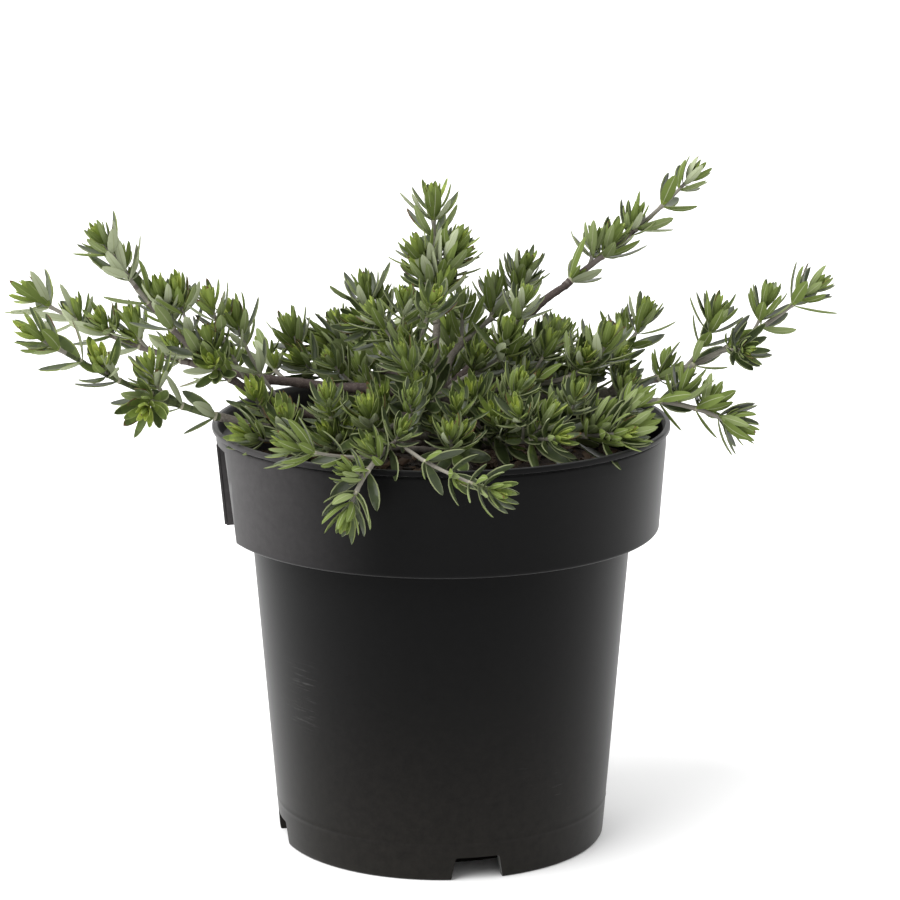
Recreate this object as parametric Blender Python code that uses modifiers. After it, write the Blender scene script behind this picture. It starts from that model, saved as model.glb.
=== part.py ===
"""A potted coast rosemary: a spreading shrub with grey-green leaves in a black nursery pot.

Sizes are real sizes in millimetres, turned into metres by MM. The pot's axis is the Z axis,
the ground is at zero, +X is to the right and the front of the plant looks along -Y.
Azimuth 0 is to the right (+X) and azimuth 90 is to the back (+Y).
"""
import math

import bmesh
import bpy
import numpy as np
from mathutils import Matrix, Vector

MM = 0.001
GAP = 0.3               # clearance between pieces that rest on each other
SEGMENTS = 36           # sides of the turned pieces

# Pot
POT_HEIGHT = 170.0
LIP_RADIUS = 90.6
LIP_DEPTH = 2.8
GROOVE_RADIUS = 88.6
COLLAR_TOP_RADIUS = 89.2
COLLAR_FOOT_RADIUS = 87.3
COLLAR_FOOT = 127.5
BODY_TOP_RADIUS = 76.0
BODY_FOOT_RADIUS = 65.8
WALL = 1.6
FLOOR = 1.8
PAD_RADIUS = 44.5       # centre of the underside, which stands on the ground
CHANNEL_HEIGHT = 6.2    # raised ring round the pad, where the drain notches open
FOOT_RING = 4.0
NOTCH_COUNT = 4
NOTCH_AZIMUTH = -78.0
NOTCH_FOOT_WIDTH = 20.0
NOTCH_TOP_WIDTH = 13.5
NOTCH_HEIGHT = 5.6

# Flat label panel on the left of the collar, with its tag holder
PANEL_TOP = 166.0
PANEL_TOP_X = -86.0
PANEL_FOOT_X = -81.8
TAG_TOP = 159.0
TAG_FOOT = 126.0
TAG_WIDTH = 22.0
TAG_TOP_X = -89.4
TAG_FOOT_X = -87.0
TAG_THICKNESS = 1.6
TAG_CORNER = 3.0

# Potting mix and trunk
SOIL = 150.0
SOIL_EDGE_DROP = 1.5
SOIL_FLAT_RADIUS = 30.0
TRUNK_FOOT = (4.0, -2.0)
TRUNK_HEAD = (-2.0, 1.0)
TRUNK_HEIGHT = 36.0
TRUNK_RADII = ((0.0, 8.6), (3.0, 7.0), (9.0, 5.9), (20.0, 5.2), (36.0, 4.2))
TRUNK_POINTS = 9

# Stems
TWIG_TIP = 0.75
STEM_STEPS = 48
SHOOT_STEPS = 5
TRIANGLE_SPREAD = 1.2   # a three-sided twig is this much wider than a round one
STEEP = 70.0            # a stem that rises more than this goes on from the trunk's top
SEAT_STEP = 0.05
SEAT_POINTS = 12

# Leaves
WHORL_STEP = 16.6
WHORL_LEAVES = 2
LEAF_SPREAD = 52.0
LEAF_LENGTH = 22.0
LEAF_WIDTH = 8.2
LEAF_THICKNESS = 1.1
LEAF_BOW = 1.0
ROOT_DEPTH = 0.35
LEAF_CHECKS = 9               # rows of points on a leaf that have to keep clear,
LEAF_CHECK_FROM = 0.2         # from this far along it
ROSETTE_LEAVES = 4
ROSETTE_FIRST_DROP = 0.8      # the innermost leaf stands this far below the tip
ROSETTE_DROP = 2.0
ROSETTE_FIRST_SPREAD = 12.0
ROSETTE_SPREAD = 16.0
ROSETTE_LENGTH = 16.0
ROSETTE_GROWTH = 1.0
GOLDEN_ANGLE = 137.5
INNER_REACH = 95.0            # low sprays that reach no further than this have larger leaves,
INNER_TOP = 230.0             # which fill the crown as its many small ones do
INNER_SIZE = 1.38
SPACE_MARGIN = 0.3
LIMB_MARGIN = 0.4
SHOOT_MARGIN = 1.0

# Each spray: name, azimuth and reach of its tip from the trunk's head, height of its tip,
# height above the soil where it leaves the trunk, elevation as it leaves and as it ends,
# sideways bend, and the part of its stem that is bare bough. Then its side shoots: place
# along the stem, length, and lean from upright towards the stem's left.
SPRAYS = (
    ("left_high", 189, 132, 247, 26, -16, 58, 3, 0.52,
     ((0.55, 15, 5), (0.60, 28, 0), (0.71, 15, 0), (0.87, 8, -50))),
    ("left_middle", 167, 170, 213, 31, 0, 24, 6, 0.48,
     ((0.52, 27, 0), (0.66, 14, 8), (0.76, 11, 40))),
    ("left_low", 195, 161, 213, 12, 2, 34, -3, 0.50,
     ((0.62, 16, 0), (0.64, 15, 112), (0.80, 9, 40))),
    ("right_high", 25, 115, 261, 28, 42, 42, 0, 0.46,
     ((0.54, 12, 35), (0.61, 9, -25), (0.71, 9, -10))),
    ("right_low", 0, 150, 224, 22, 4, 42, 2, 0.50,
     ((0.58, 26, -6), (0.69, 18, -95), (0.79, 15, 10))),
    ("right_under", 350, 121, 171, 14, 16, -30, -4, 0.54,
     ((0.72, 11, 10), (0.84, 10, 60))),
    ("centre_top", 94, 19, 256, 36, 80, 96, 20, 0.30,
     ((0.38, 15, 45), (0.46, 16, -60), (0.32, 14, 150))),
    ("front_trailing", 253, 112, 156, 8, 22, -56, 10, 0.60,
     ((0.68, 36, -66), (0.70, 50, 86))),
    ("front_middle", 274, 78, 182, 16, 12, 60, 8, 0.52, ((0.80, 9, 30),)),
    ("left_front", 212, 87, 174, 6, 12, 20, -4, 0.52, ((0.70, 14, 15),)),
    ("front_left", 231, 66, 175, 15, 8, 50, -2, 0.46, ((0.74, 10, 30),)),
    ("front_inner_left", 247, 66, 187, 23, 20, 72, 2, 0.46, ((0.66, 12, -30),)),
    ("front_inner_right", 298, 61, 181, 24, 10, 50, 3, 0.46, ((0.74, 12, -35),)),
    ("front_right", 304, 84, 178, 5, 20, 14, -8, 0.52, ((0.72, 15, 25),)),
    ("right_front", 322, 91, 177, 9, 16, 14, -4, 0.55, ((0.76, 12, 40),)),
    ("right_side", 339, 74, 174, 19, 2, 40, -12, 0.46, ((0.72, 13, 35),)),
    ("left_inner", 151, 68, 201, 20, 4, 72, -2, 0.46, ((0.60, 16, 60),)),
    ("left_inner_back", 130, 64, 200, 27, 14, 72, -12, 0.44, ((0.66, 15, 75),)),
    ("left_upper", 150, 33, 220, 28, 34, 80, -18, 0.0, ((0.60, 12, -50), (0.45, 20, 80))),
    ("centre_front", 240, 26, 206, 28, 44, 86, 3, 0.0, ((0.5, 10, -60),)),
    ("centre_low", 262, 46, 193, 29, 16, 80, 8, 0.42, ()),
    ("right_upper", 44, 48, 223, 25, 56, 82, 34, 0.34, ((0.56, 14, 30),)),
    ("right_centre", 342, 32, 206, 29, 40, 82, -10, 0.0, ((0.60, 14, -30),)),
    ("right_inner_back", 22, 52, 202, 26, 20, 78, 12, 0.40, ((0.62, 13, -30),)),
    ("right_inner", 347, 69, 206, 28, 16, 74, 3, 0.40, ((0.60, 14, 35), (0.66, 12, -40))),
    ("right_back", 21, 91, 207, 18, 6, 70, 16, 0.46, ((0.64, 13, -60), (0.74, 14, 35))),
    ("back_left", 112, 88, 194, 17, 4, 55, -4, 0.44, ((0.64, 16, -20), (0.80, 14, 25))),
    ("back_middle", 84, 74, 198, 24, 12, 65, -4, 0.42, ((0.62, 16, 20),)),
    ("back_right", 56, 92, 190, 12, 2, 50, 5, 0.46, ((0.64, 15, 25), (0.80, 14, -25))),
)
BARE_ROOT = 0.30        # a mass that springs from the trunk itself has no leaves up to here

POT_BLACK = (0.022, 0.022, 0.023)
SOIL_BROWN = (0.045, 0.030, 0.020)
BARK_BROWN = (0.115, 0.085, 0.070)
LEAF_GREEN = (0.105, 0.165, 0.060)


def material(name, colour, roughness):
    """A plain Principled material."""
    made = bpy.data.materials.new(name)
    made.use_nodes = True
    shader = made.node_tree.nodes["Principled BSDF"]
    shader.inputs["Base Color"].default_value = (*colour, 1.0)
    shader.inputs["Roughness"].default_value = roughness
    shader.inputs["Metallic"].default_value = 0.0
    return made


def add_object(name, data, collection, look=None):
    """Link a new object that holds the given mesh or curve."""
    made = bpy.data.objects.new(name, data)
    collection.objects.link(made)
    if look:
        data.materials.append(look)
    return made


def add_collection(name):
    made = bpy.data.collections.new(name)
    bpy.context.scene.collection.children.link(made)
    return made


def hide_helper(helper):
    helper.hide_render = True
    helper.display_type = "WIRE"


def turned(name, profile, collection, look=None):
    """A solid of revolution: the profile runs down the outer side and ends on the axis."""
    mesh = bpy.data.meshes.new(name)
    points = [(radius * MM, 0.0, height * MM) for radius, height in profile]
    mesh.from_pydata(points, [(i, i + 1) for i in range(len(points) - 1)], [])
    made = add_object(name, mesh, collection, look)
    screw = made.modifiers.new("turn", "SCREW")
    screw.steps = SEGMENTS
    screw.render_steps = SEGMENTS
    screw.use_merge_vertices = True
    screw.merge_threshold = 0.00001
    return made


def box(name, size, collection):
    """A block centred on the origin, with its size in its mesh."""
    mesh = bpy.data.meshes.new(name)
    shape = bmesh.new()
    bmesh.ops.create_cube(shape, size=1.0)
    bmesh.ops.scale(shape, vec=Vector(size) * MM, verts=shape.verts)
    shape.to_mesh(mesh)
    shape.free()
    return add_object(name, mesh, collection)


def add_boolean(target, operation, helper):
    """Cut or join one helper object, or all the objects of a collection."""
    step = target.modifiers.new(operation.lower(), "BOOLEAN")
    step.operation = operation
    step.solver = "EXACT"
    if isinstance(helper, bpy.types.Collection):
        step.operand_type = "COLLECTION"
        step.collection = helper
    else:
        step.object = helper
    return step


def wall_radius(height):
    """Outer radius of the pot's body at a height."""
    return BODY_FOOT_RADIUS + (BODY_TOP_RADIUS - BODY_FOOT_RADIUS) * height / COLLAR_FOOT


def collar_inside(height):
    """Inner radius of the collar at a height."""
    rise = (height - COLLAR_FOOT) / (POT_HEIGHT - COLLAR_FOOT)
    return COLLAR_FOOT_RADIUS - WALL + (COLLAR_TOP_RADIUS - COLLAR_FOOT_RADIUS) * rise


def panel_block(name, inset, top, collection):
    """A block whose inner face is the label panel's slanting plane, moved in by inset."""
    lean = math.atan2(PANEL_FOOT_X - PANEL_TOP_X, PANEL_TOP - COLLAR_FOOT)
    foot = COLLAR_FOOT - 4.0 if inset == 0.0 else COLLAR_FOOT + WALL - GAP
    depth, width = 30.0, 90.0
    block = box(name, (depth, width, top - foot), collection)
    middle = (top + foot) / 2
    face_x = PANEL_TOP_X + (PANEL_TOP - middle) * math.tan(lean) + inset
    for vertex in block.data.vertices:
        vertex.co.x += (face_x - depth / 2 - vertex.co.z / MM * math.tan(lean)) * MM
        vertex.co.z += middle * MM
    hide_helper(block)
    return block


def cavity_profile(gap):
    """The pot's inside from the axis at the floor up to the mouth, moved in by a gap."""
    ceiling = CHANNEL_HEIGHT + FLOOR
    ledge = COLLAR_FOOT + WALL
    return [
        (collar_inside(ledge) - gap, ledge + gap),
        (wall_radius(ledge) - WALL - gap, ledge + gap),
        (wall_radius(ceiling) - WALL - gap, ceiling + gap),
        (PAD_RADIUS + FLOOR - gap, ceiling + gap),
        (PAD_RADIUS - gap, FLOOR + gap),
        (0.0, FLOOR + gap),
    ]


def make_pot(collection, helpers):
    """The pot: collar over a tapered body, foot ring with notches, label panel, tag holder."""
    ring_inner = BODY_FOOT_RADIUS - FOOT_RING
    mouth_radius = collar_inside(POT_HEIGHT)
    outline = [
        (0.0, POT_HEIGHT),
        (mouth_radius, POT_HEIGHT),
        (LIP_RADIUS - 0.5, POT_HEIGHT),
        (LIP_RADIUS, POT_HEIGHT - 0.6),
        (LIP_RADIUS, POT_HEIGHT - LIP_DEPTH + 0.3),
        (LIP_RADIUS - 0.5, POT_HEIGHT - LIP_DEPTH),
        (GROOVE_RADIUS, POT_HEIGHT - LIP_DEPTH - 0.3),
        (GROOVE_RADIUS + 0.1, POT_HEIGHT - LIP_DEPTH - 1.8),
        (COLLAR_TOP_RADIUS, POT_HEIGHT - LIP_DEPTH - 2.6),
        (COLLAR_FOOT_RADIUS, COLLAR_FOOT + 1.0),
        (COLLAR_FOOT_RADIUS - 0.5, COLLAR_FOOT),
        (BODY_TOP_RADIUS + 0.6, COLLAR_FOOT),
        (BODY_TOP_RADIUS, COLLAR_FOOT - 0.8),
        (BODY_FOOT_RADIUS + 0.1, 1.0),
        (BODY_FOOT_RADIUS - 0.6, 0.0),
        (ring_inner, 0.0),
        (ring_inner - 0.4, CHANNEL_HEIGHT),
        (PAD_RADIUS + 1.8, CHANNEL_HEIGHT),
        (PAD_RADIUS, 0.0),
        (0.0, 0.0),
    ]
    pot = turned("pot", outline, collection, material("pot_black", POT_BLACK, 0.5))
    add_boolean(pot, "DIFFERENCE", panel_block("panel_cut", 0.0, PANEL_TOP, helpers))

    above = POT_HEIGHT + 2.0
    mouth = [(0.0, above), (mouth_radius, above), (mouth_radius, POT_HEIGHT)]
    cavity = turned("cavity_cut", mouth + cavity_profile(0.0), helpers)
    add_boolean(cavity, "DIFFERENCE", panel_block("panel_wall", WALL, PANEL_TOP - WALL, helpers))
    hide_helper(cavity)
    add_boolean(pot, "DIFFERENCE", cavity)

    for number in range(NOTCH_COUNT):
        azimuth = math.radians(NOTCH_AZIMUTH + 360.0 / NOTCH_COUNT * number)
        notch = box(f"notch_cut_{number + 1}", (16.0, NOTCH_FOOT_WIDTH, 2 * NOTCH_HEIGHT), helpers)
        for vertex in notch.data.vertices:
            if vertex.co.z > 0:
                vertex.co.y *= NOTCH_TOP_WIDTH / NOTCH_FOOT_WIDTH
        radius = BODY_FOOT_RADIUS * MM
        notch.location = (radius * math.cos(azimuth), radius * math.sin(azimuth), 0.0)
        notch.rotation_euler = (0.0, 0.0, azimuth)
        hide_helper(notch)
        add_boolean(pot, "DIFFERENCE", notch)

    add_boolean(pot, "UNION", make_tag_holder())
    return pot


def make_tag_holder():
    """A narrow plate that stands off the label panel on two side webs."""
    holder = add_collection("tag_holder")
    lean = math.atan2(TAG_FOOT_X - TAG_TOP_X, TAG_TOP - TAG_FOOT)
    middle = (TAG_TOP + TAG_FOOT) / 2
    height = TAG_TOP - TAG_FOOT

    plate = box("tag_plate", (TAG_THICKNESS, TAG_WIDTH, height), holder)
    shape = bmesh.new()
    shape.from_mesh(plate.data)
    corners = [edge for edge in shape.edges
               if all(vertex.co.z < 0 for vertex in edge.verts)
               and abs(edge.verts[0].co.x - edge.verts[1].co.x) > 0.5 * MM]
    bmesh.ops.bevel(shape, geom=corners, offset=TAG_CORNER * MM, segments=3, profile=0.5,
                    affect="EDGES")
    shape.to_mesh(plate.data)
    shape.free()
    outer_x = (TAG_TOP_X + TAG_FOOT_X) / 2
    plate.location = ((outer_x + TAG_THICKNESS / 2) * MM, 0.0, middle * MM)
    plate.rotation_euler = (0.0, -lean, 0.0)
    hide_helper(plate)

    reach = 5.2
    web_height = height - 2 * TAG_CORNER
    for side in (-1, 1):
        web = box(f"tag_web_{'front' if side < 0 else 'back'}", (reach, TAG_THICKNESS, web_height),
                  holder)
        web.location = ((outer_x + TAG_THICKNESS + reach / 2 - 0.8) * MM,
                        side * (TAG_WIDTH / 2 - TAG_CORNER) * MM, (middle + TAG_CORNER) * MM)
        web.rotation_euler = (0.0, -lean, 0.0)
        hide_helper(web)
    return holder


def make_potting_mix(collection, helpers):
    """The mix that fills the pot, a gap clear of its wall, flat round the trunk's foot."""
    edge = SOIL - SOIL_EDGE_DROP
    profile = [(0.0, SOIL), (SOIL_FLAT_RADIUS, SOIL), (collar_inside(edge) - GAP, edge)]
    mix = turned("potting_mix", profile + cavity_profile(GAP), collection,
                 material("potting_mix_brown", SOIL_BROWN, 0.95))
    add_boolean(mix, "DIFFERENCE", panel_block("panel_mix", WALL + GAP, PANEL_TOP, helpers))
    return mix


def heading(azimuth, elevation):
    a, e = math.radians(azimuth), math.radians(elevation)
    return np.array([math.cos(a) * math.cos(e), math.sin(a) * math.cos(e), math.sin(e)])


def unit(vector):
    return vector / np.linalg.norm(vector)


def trunk_centre(rise):
    """Centre of the trunk at a height above the soil; its foot stands upright."""
    share = max(rise - TRUNK_RADII[1][0], 0.0) / (TRUNK_HEIGHT - TRUNK_RADII[1][0])
    foot, head = np.array(TRUNK_FOOT), np.array(TRUNK_HEAD)
    x, y = foot + (head - foot) * share ** 1.2
    return np.array([x, y, SOIL + GAP + rise])


def trunk_radius(rise):
    heights, radii = zip(*TRUNK_RADII)
    return float(np.interp(rise, heights, radii))


def stem_root_radius(length):
    return 1.2 + 0.0065 * length


def trunk_seat(core, way, radius):
    """Where a stem that heads out from the trunk's core starts, its cut end just off the skin."""
    side = unit(np.cross(way, (0.0, 0.0, 1.0)))
    turns = np.linspace(0.0, math.tau, SEAT_POINTS, endpoint=False)[:, None]
    rim = radius * (side * np.cos(turns) + np.cross(side, way) * np.sin(turns))
    middle = core
    while off_trunk(middle + rim).min() < GAP:
        middle = middle + way * SEAT_STEP
    return middle


def off_trunk(points):
    """Level distance of each point from the trunk's skin, negative inside it."""
    gaps = []
    for point in points:
        rise = point[2] - SOIL - GAP
        centre = trunk_centre(min(rise, TRUNK_HEIGHT))
        gaps.append(math.hypot(*(point - centre)[:2]) - trunk_radius(rise))
    return np.array(gaps)


def bezier(corners, steps):
    """Points along a quadratic or cubic curve."""
    t = np.linspace(0.0, 1.0, steps + 1)[:, None]
    order = len(corners) - 1
    return sum(math.comb(order, i) * (1 - t) ** (order - i) * t ** i * corner
               for i, corner in enumerate(corners))


def stem_path(azimuth, reach, top, rise, leave, arrive, bend):
    """A stem's axis, from the trunk's skin to its tip, and its radii."""
    tip = np.array([*TRUNK_HEAD, 0.0]) + heading(azimuth, 0) * reach
    tip[2] = top
    core = trunk_centre(rise)
    way = math.degrees(math.atan2(tip[1] - core[1], tip[0] - core[0]))
    first = heading(way + bend, leave)
    last = heading(way - bend, arrive)
    root = stem_root_radius(np.linalg.norm(tip - core))
    if leave > STEEP:
        start = core + np.array([0.0, 0.0, GAP])
        first = np.array([0.0, 0.0, 1.0])
    else:
        start = trunk_seat(core, first, root)
    size = np.linalg.norm(tip - start)
    path = bezier((start, start + first * size * 0.42, tip - last * size * 0.36, tip), STEM_STEPS)
    radii = np.linspace(root, TWIG_TIP, len(path))
    return path, radii


def shoot_path(path, radii, azimuth, place, length, lean):
    """A side shoot that leaves its stem and turns upward, or over to one side."""
    index = int(round(place * (len(path) - 1)))
    start = path[index]
    along = unit(path[index + 1] - path[index - 1])
    side = np.array([-math.sin(math.radians(azimuth)), math.cos(math.radians(azimuth)), 0.0])
    tilt = math.radians(lean)
    end = unit(np.array([0.0, 0.0, 1.0]) * math.cos(tilt) + side * math.sin(tilt) + along * 0.4)
    elbow = start + unit(along + end) * length * 0.45
    points = bezier((start, elbow, elbow + end * length * 0.6), SHOOT_STEPS)
    return points, np.linspace(min(radii[index] * 0.75, 1.1), TWIG_TIP * 0.8, len(points))


def segment_distance(points, starts, ends):
    """Least distance from each point to a set of segments."""
    run = ends - starts
    size = np.maximum((run ** 2).sum(axis=1), 1e-12)
    t = ((points[:, None] - starts[None]) * run[None]).sum(axis=2) / size
    near = starts[None] + np.clip(t, 0.0, 1.0)[:, :, None] * run[None]
    return np.linalg.norm(points[:, None] - near, axis=2)


def clear_of_pot(points):
    """True where points keep off the pot's wall and the potting mix."""
    reach = np.hypot(points[:, 0], points[:, 1])
    height = points[:, 2]
    inside = (reach < collar_inside(SOIL) - 1.0) & (height > SOIL + 1.0)
    outside = reach > LIP_RADIUS + 1.0
    return bool(np.all(inside | outside | (height > POT_HEIGHT + 1.0)))


class Spray:
    """One stem: its bare bough, and the foliage mass beyond it with the twigs it carries."""

    def __init__(self, values):
        self.name, self.azimuth, reach, top = values[:4]
        self.bare = values[8]
        self.leaf_size = INNER_SIZE if reach < INNER_REACH and top < INNER_TOP else 1.0
        self.path, self.radii = stem_path(*values[1:8])
        self.shoot_values = values[9]
        self.cut = int(round(self.bare * STEM_STEPS))
        self.twigs = []

    def bough(self):
        return self.path[:self.cut + 1], self.radii[:self.cut + 1]

    def stem(self):
        """The mass's own stem, which starts a gap beyond the bough's tip."""
        if not self.cut:
            return self.path, self.radii
        path = self.path[self.cut:].copy()
        path[0] += unit(path[1] - path[0]) * GAP
        return path, self.radii[self.cut:]


def grow_twigs(sprays):
    """Give each spray its stem and those side shoots that keep clear of all other limbs."""
    for spray in sprays:
        spray.twigs = [spray.stem()]
    for spray in sprays:
        for values in spray.shoot_values:
            points, radii = shoot_path(spray.path, spray.radii, spray.azimuth, *values)
            if not clear_of_pot(points):
                continue
            others = [twig for other in sprays if other is not spray
                      for twig in other.twigs + ([other.bough()] if other.cut else [])]
            room = min((segment_distance(points, path[:-1], path[1:])
                        - radii[:, None] - thick[None, :-1]).min() for path, thick in others)
            if room > SHOOT_MARGIN:
                spray.twigs.append((points, radii))


class Space:
    """The space that each mass keeps to: points nearer its own twigs than any other mass's."""

    def __init__(self, sprays):
        self.names = [spray.name for spray in sprays]
        self.masses = []
        limbs = []
        for spray in sprays:
            self.masses.append((np.concatenate([path[:-1] for path, radii in spray.twigs]),
                                np.concatenate([path[1:] for path, radii in spray.twigs])))
            if spray.cut:
                limbs.append(spray.bough())
        rises = np.linspace(0.0, TRUNK_HEIGHT, TRUNK_POINTS)
        limbs.append((np.array([trunk_centre(rise) for rise in rises]),
                      np.array([trunk_radius(rise) for rise in rises])))
        self.limb_starts = np.concatenate([path[:-1] for path, radii in limbs])
        self.limb_ends = np.concatenate([path[1:] for path, radii in limbs])
        self.limb_radii = np.concatenate([radii[:-1] for path, radii in limbs])

    def holds(self, number, points):
        if not clear_of_pot(points):
            return False
        room = segment_distance(points, self.limb_starts, self.limb_ends) - self.limb_radii[None]
        if room.min() < LIMB_MARGIN:
            return False
        own = segment_distance(points, *self.masses[number]).min(axis=1)
        for other, mass in enumerate(self.masses):
            if other != number:
                if (segment_distance(points, *mass).min(axis=1) - own).min() < SPACE_MARGIN:
                    return False
        return True


def leaf_frames(spray, number):
    """The leaves of one mass, as (root, direction, upper side, length), by a seeded rule."""
    random = np.random.default_rng(100 + number)
    for order, (path, radii) in enumerate(spray.twigs):
        steps = np.linalg.norm(np.diff(path, axis=0), axis=1)
        distance = np.concatenate(([0.0], np.cumsum(steps)))
        axis = unit(path[-1] - path[-2])
        first = distance[-1] * BARE_ROOT if order == 0 and not spray.cut else 5.0
        turn = random.uniform(0.0, 360.0)
        for place in np.arange(first, distance[-1] - 9.0, WHORL_STEP):
            root = np.array([np.interp(place, distance, path[:, k]) for k in range(3)])
            index = min(int(np.searchsorted(distance, place)), len(path) - 1)
            along = unit(path[index] - path[index - 1])
            turn += 90.0
            yield from whorl(root, along, WHORL_LEAVES, turn, LEAF_SPREAD, LEAF_LENGTH, random)
        for index in range(ROSETTE_LEAVES):
            turn += GOLDEN_ANGLE
            root = path[-1] - axis * (ROSETTE_FIRST_DROP + ROSETTE_DROP * index)
            yield from whorl(root, axis, 1, turn, ROSETTE_FIRST_SPREAD + ROSETTE_SPREAD * index,
                             ROSETTE_LENGTH + ROSETTE_GROWTH * index, random)


def whorl(root, along, count, turn, spread, length, random):
    """Leaves set evenly round a stem."""
    side = unit(np.cross(along, (0.3, 0.9, 0.1)))
    other = np.cross(along, side)
    for number in range(count):
        angle = math.radians(turn + 360.0 / count * number + random.uniform(-14.0, 14.0))
        tilt = math.radians(spread + random.uniform(-8.0, 8.0))
        out = side * math.cos(angle) + other * math.sin(angle)
        way = along * math.cos(tilt) + out * math.sin(tilt)
        upper = along * math.sin(tilt) - out * math.cos(tilt)
        yield root, way, upper, length * random.uniform(0.9, 1.06)


def leaf_mesh():
    """A flat eight-sided leaf of unit size, pointed at both ends, its middle bowed outward."""
    shape = bmesh.new()
    bmesh.ops.create_uvsphere(shape, u_segments=4, v_segments=2, radius=0.5)
    for vertex in shape.verts:
        if abs(vertex.co.z) < 0.1:
            vertex.co.y -= LEAF_BOW
    bmesh.ops.translate(shape, verts=shape.verts, vec=(0.0, 0.0, 0.5))
    mesh = bpy.data.meshes.new("leaf")
    shape.to_mesh(mesh)
    shape.free()
    return mesh


def leaf_matrix(root, way, upper, length):
    """Place of a leaf whose root is sunk past the middle of its twig."""
    across = np.cross(way, upper)
    size = length + ROOT_DEPTH
    columns = (across * LEAF_WIDTH * length / LEAF_LENGTH, upper * LEAF_THICKNESS, way * size)
    matrix = Matrix.Identity(4)
    for column, vector in enumerate(columns):
        for row in range(3):
            matrix[row][column] = vector[row] * MM
    for row in range(3):
        matrix[row][3] = (root - way * ROOT_DEPTH)[row] * MM
    return matrix


def leaf_samples(matrix):
    """Points along both edges and the middle of a placed leaf, past its root."""
    points = []
    for place in np.linspace(LEAF_CHECK_FROM, 1.0, LEAF_CHECKS):
        share = 1.0 - abs(2.0 * place - 1.0)
        for side in (-0.5, 0.0, 0.5):
            points.append(matrix @ Vector((side * share, -LEAF_BOW * share, place)))
    return np.array(points) / MM


def tube_curve(name, path, radii, collection, section=None, resolution=1):
    """A tapering tube along a path, as a curve object with filled caps."""
    curve = bpy.data.curves.new(name, "CURVE")
    curve.dimensions = "3D"
    spline = curve.splines.new("POLY")
    spline.points.add(len(path) - 1)
    for point, place, radius in zip(spline.points, path, radii):
        point.co = (*(np.array(place) * MM), 1.0)
        point.radius = float(radius)
    curve.use_fill_caps = True
    if section:
        curve.bevel_mode = "OBJECT"
        curve.bevel_object = section
    else:
        curve.bevel_depth = MM
        curve.bevel_resolution = resolution
    return add_object(name, curve, collection)


def thinned(path, radii, steps):
    """The path again with fewer points, its ends kept."""
    keep = np.unique(np.round(np.linspace(0, len(path) - 1, steps + 1)).astype(int))
    return path[keep], np.asarray(radii)[keep]


def as_mesh(source, name):
    """The evaluated object as a welded mesh."""
    graph = bpy.context.evaluated_depsgraph_get()
    mesh = bpy.data.meshes.new_from_object(source.evaluated_get(graph))
    mesh.name = name
    shape = bmesh.new()
    shape.from_mesh(mesh)
    bmesh.ops.remove_doubles(shape, verts=shape.verts, dist=0.000002)
    bmesh.ops.recalc_face_normals(shape, faces=shape.faces)
    shape.to_mesh(mesh)
    shape.free()
    return mesh


def triangle_section(helpers):
    """The three-sided section of a twig, of unit radius in millimetres."""
    curve = bpy.data.curves.new("twig_section", "CURVE")
    curve.dimensions = "2D"
    spline = curve.splines.new("POLY")
    spline.points.add(2)
    spline.use_cyclic_u = True
    for number, point in enumerate(spline.points):
        angle = -math.tau * number / 3
        size = TRIANGLE_SPREAD * MM
        point.co = (size * math.cos(angle), size * math.sin(angle), 0.0, 1.0)
    section = add_object("twig_section", curve, helpers)
    hide_helper(section)
    return section


def twig_object(name, path, radii, section, collection):
    curve = tube_curve(name, path, radii, collection, section=section)
    mesh = as_mesh(curve, name)
    bpy.data.objects.remove(curve)
    return add_object(name, mesh, collection)


def keep_largest(mesh):
    """Drop loose scraps: only the body with the most faces stays."""
    shape = bmesh.new()
    shape.from_mesh(mesh)
    bmesh.ops.triangulate(shape, faces=shape.faces)
    left = set(shape.faces)
    bodies = []
    while left:
        body, front = set(), [left.pop()]
        while front:
            face = front.pop()
            body.add(face)
            for edge in face.edges:
                for other in edge.link_faces:
                    if other in left:
                        left.remove(other)
                        front.append(other)
        bodies.append(body)
    largest = max(bodies, key=len)
    loose = [face for body in bodies if body is not largest for face in body]
    bmesh.ops.delete(shape, geom=loose, context="FACES")
    shape.to_mesh(mesh)
    shape.free()


def make_mass(spray, number, space, leaf, section, collection, look):
    """One mass of foliage: its stem, side twigs and leaves joined into a single solid."""
    pieces = add_collection(f"pieces_{spray.name}")
    host = None
    for order, (path, radii) in enumerate(spray.twigs):
        steps = max(3, round(len(path) / 7)) if order == 0 else 2
        path, radii = thinned(path, radii, steps)
        name = f"foliage_{spray.name}" if order == 0 else f"twig_{spray.name}_{order}"
        made = twig_object(name, path, radii, section, collection if order == 0 else pieces)
        host = host or made
    for index, (root, way, upper, length) in enumerate(leaf_frames(spray, number)):
        for size in sorted({spray.leaf_size, 1.0}, reverse=True):
            matrix = leaf_matrix(root, way, upper, length * size)
            if space.holds(number, leaf_samples(matrix)):
                made = bpy.data.objects.new(f"leaf_{spray.name}_{index}", leaf)
                made.matrix_world = matrix
                pieces.objects.link(made)
                break
    union = host.modifiers.new("join", "BOOLEAN")
    union.operation = "UNION"
    union.operand_type = "COLLECTION"
    union.collection = pieces
    union.solver = "EXACT"
    bpy.context.view_layer.update()
    graph = bpy.context.evaluated_depsgraph_get()
    joined = bpy.data.meshes.new_from_object(host.evaluated_get(graph))
    host.modifiers.clear()
    host.data = joined
    joined.name = host.name
    for piece in list(pieces.objects):
        bpy.data.objects.remove(piece)
    bpy.data.collections.remove(pieces)
    keep_largest(joined)
    joined.materials.clear()
    joined.materials.append(look)
    return host


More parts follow.
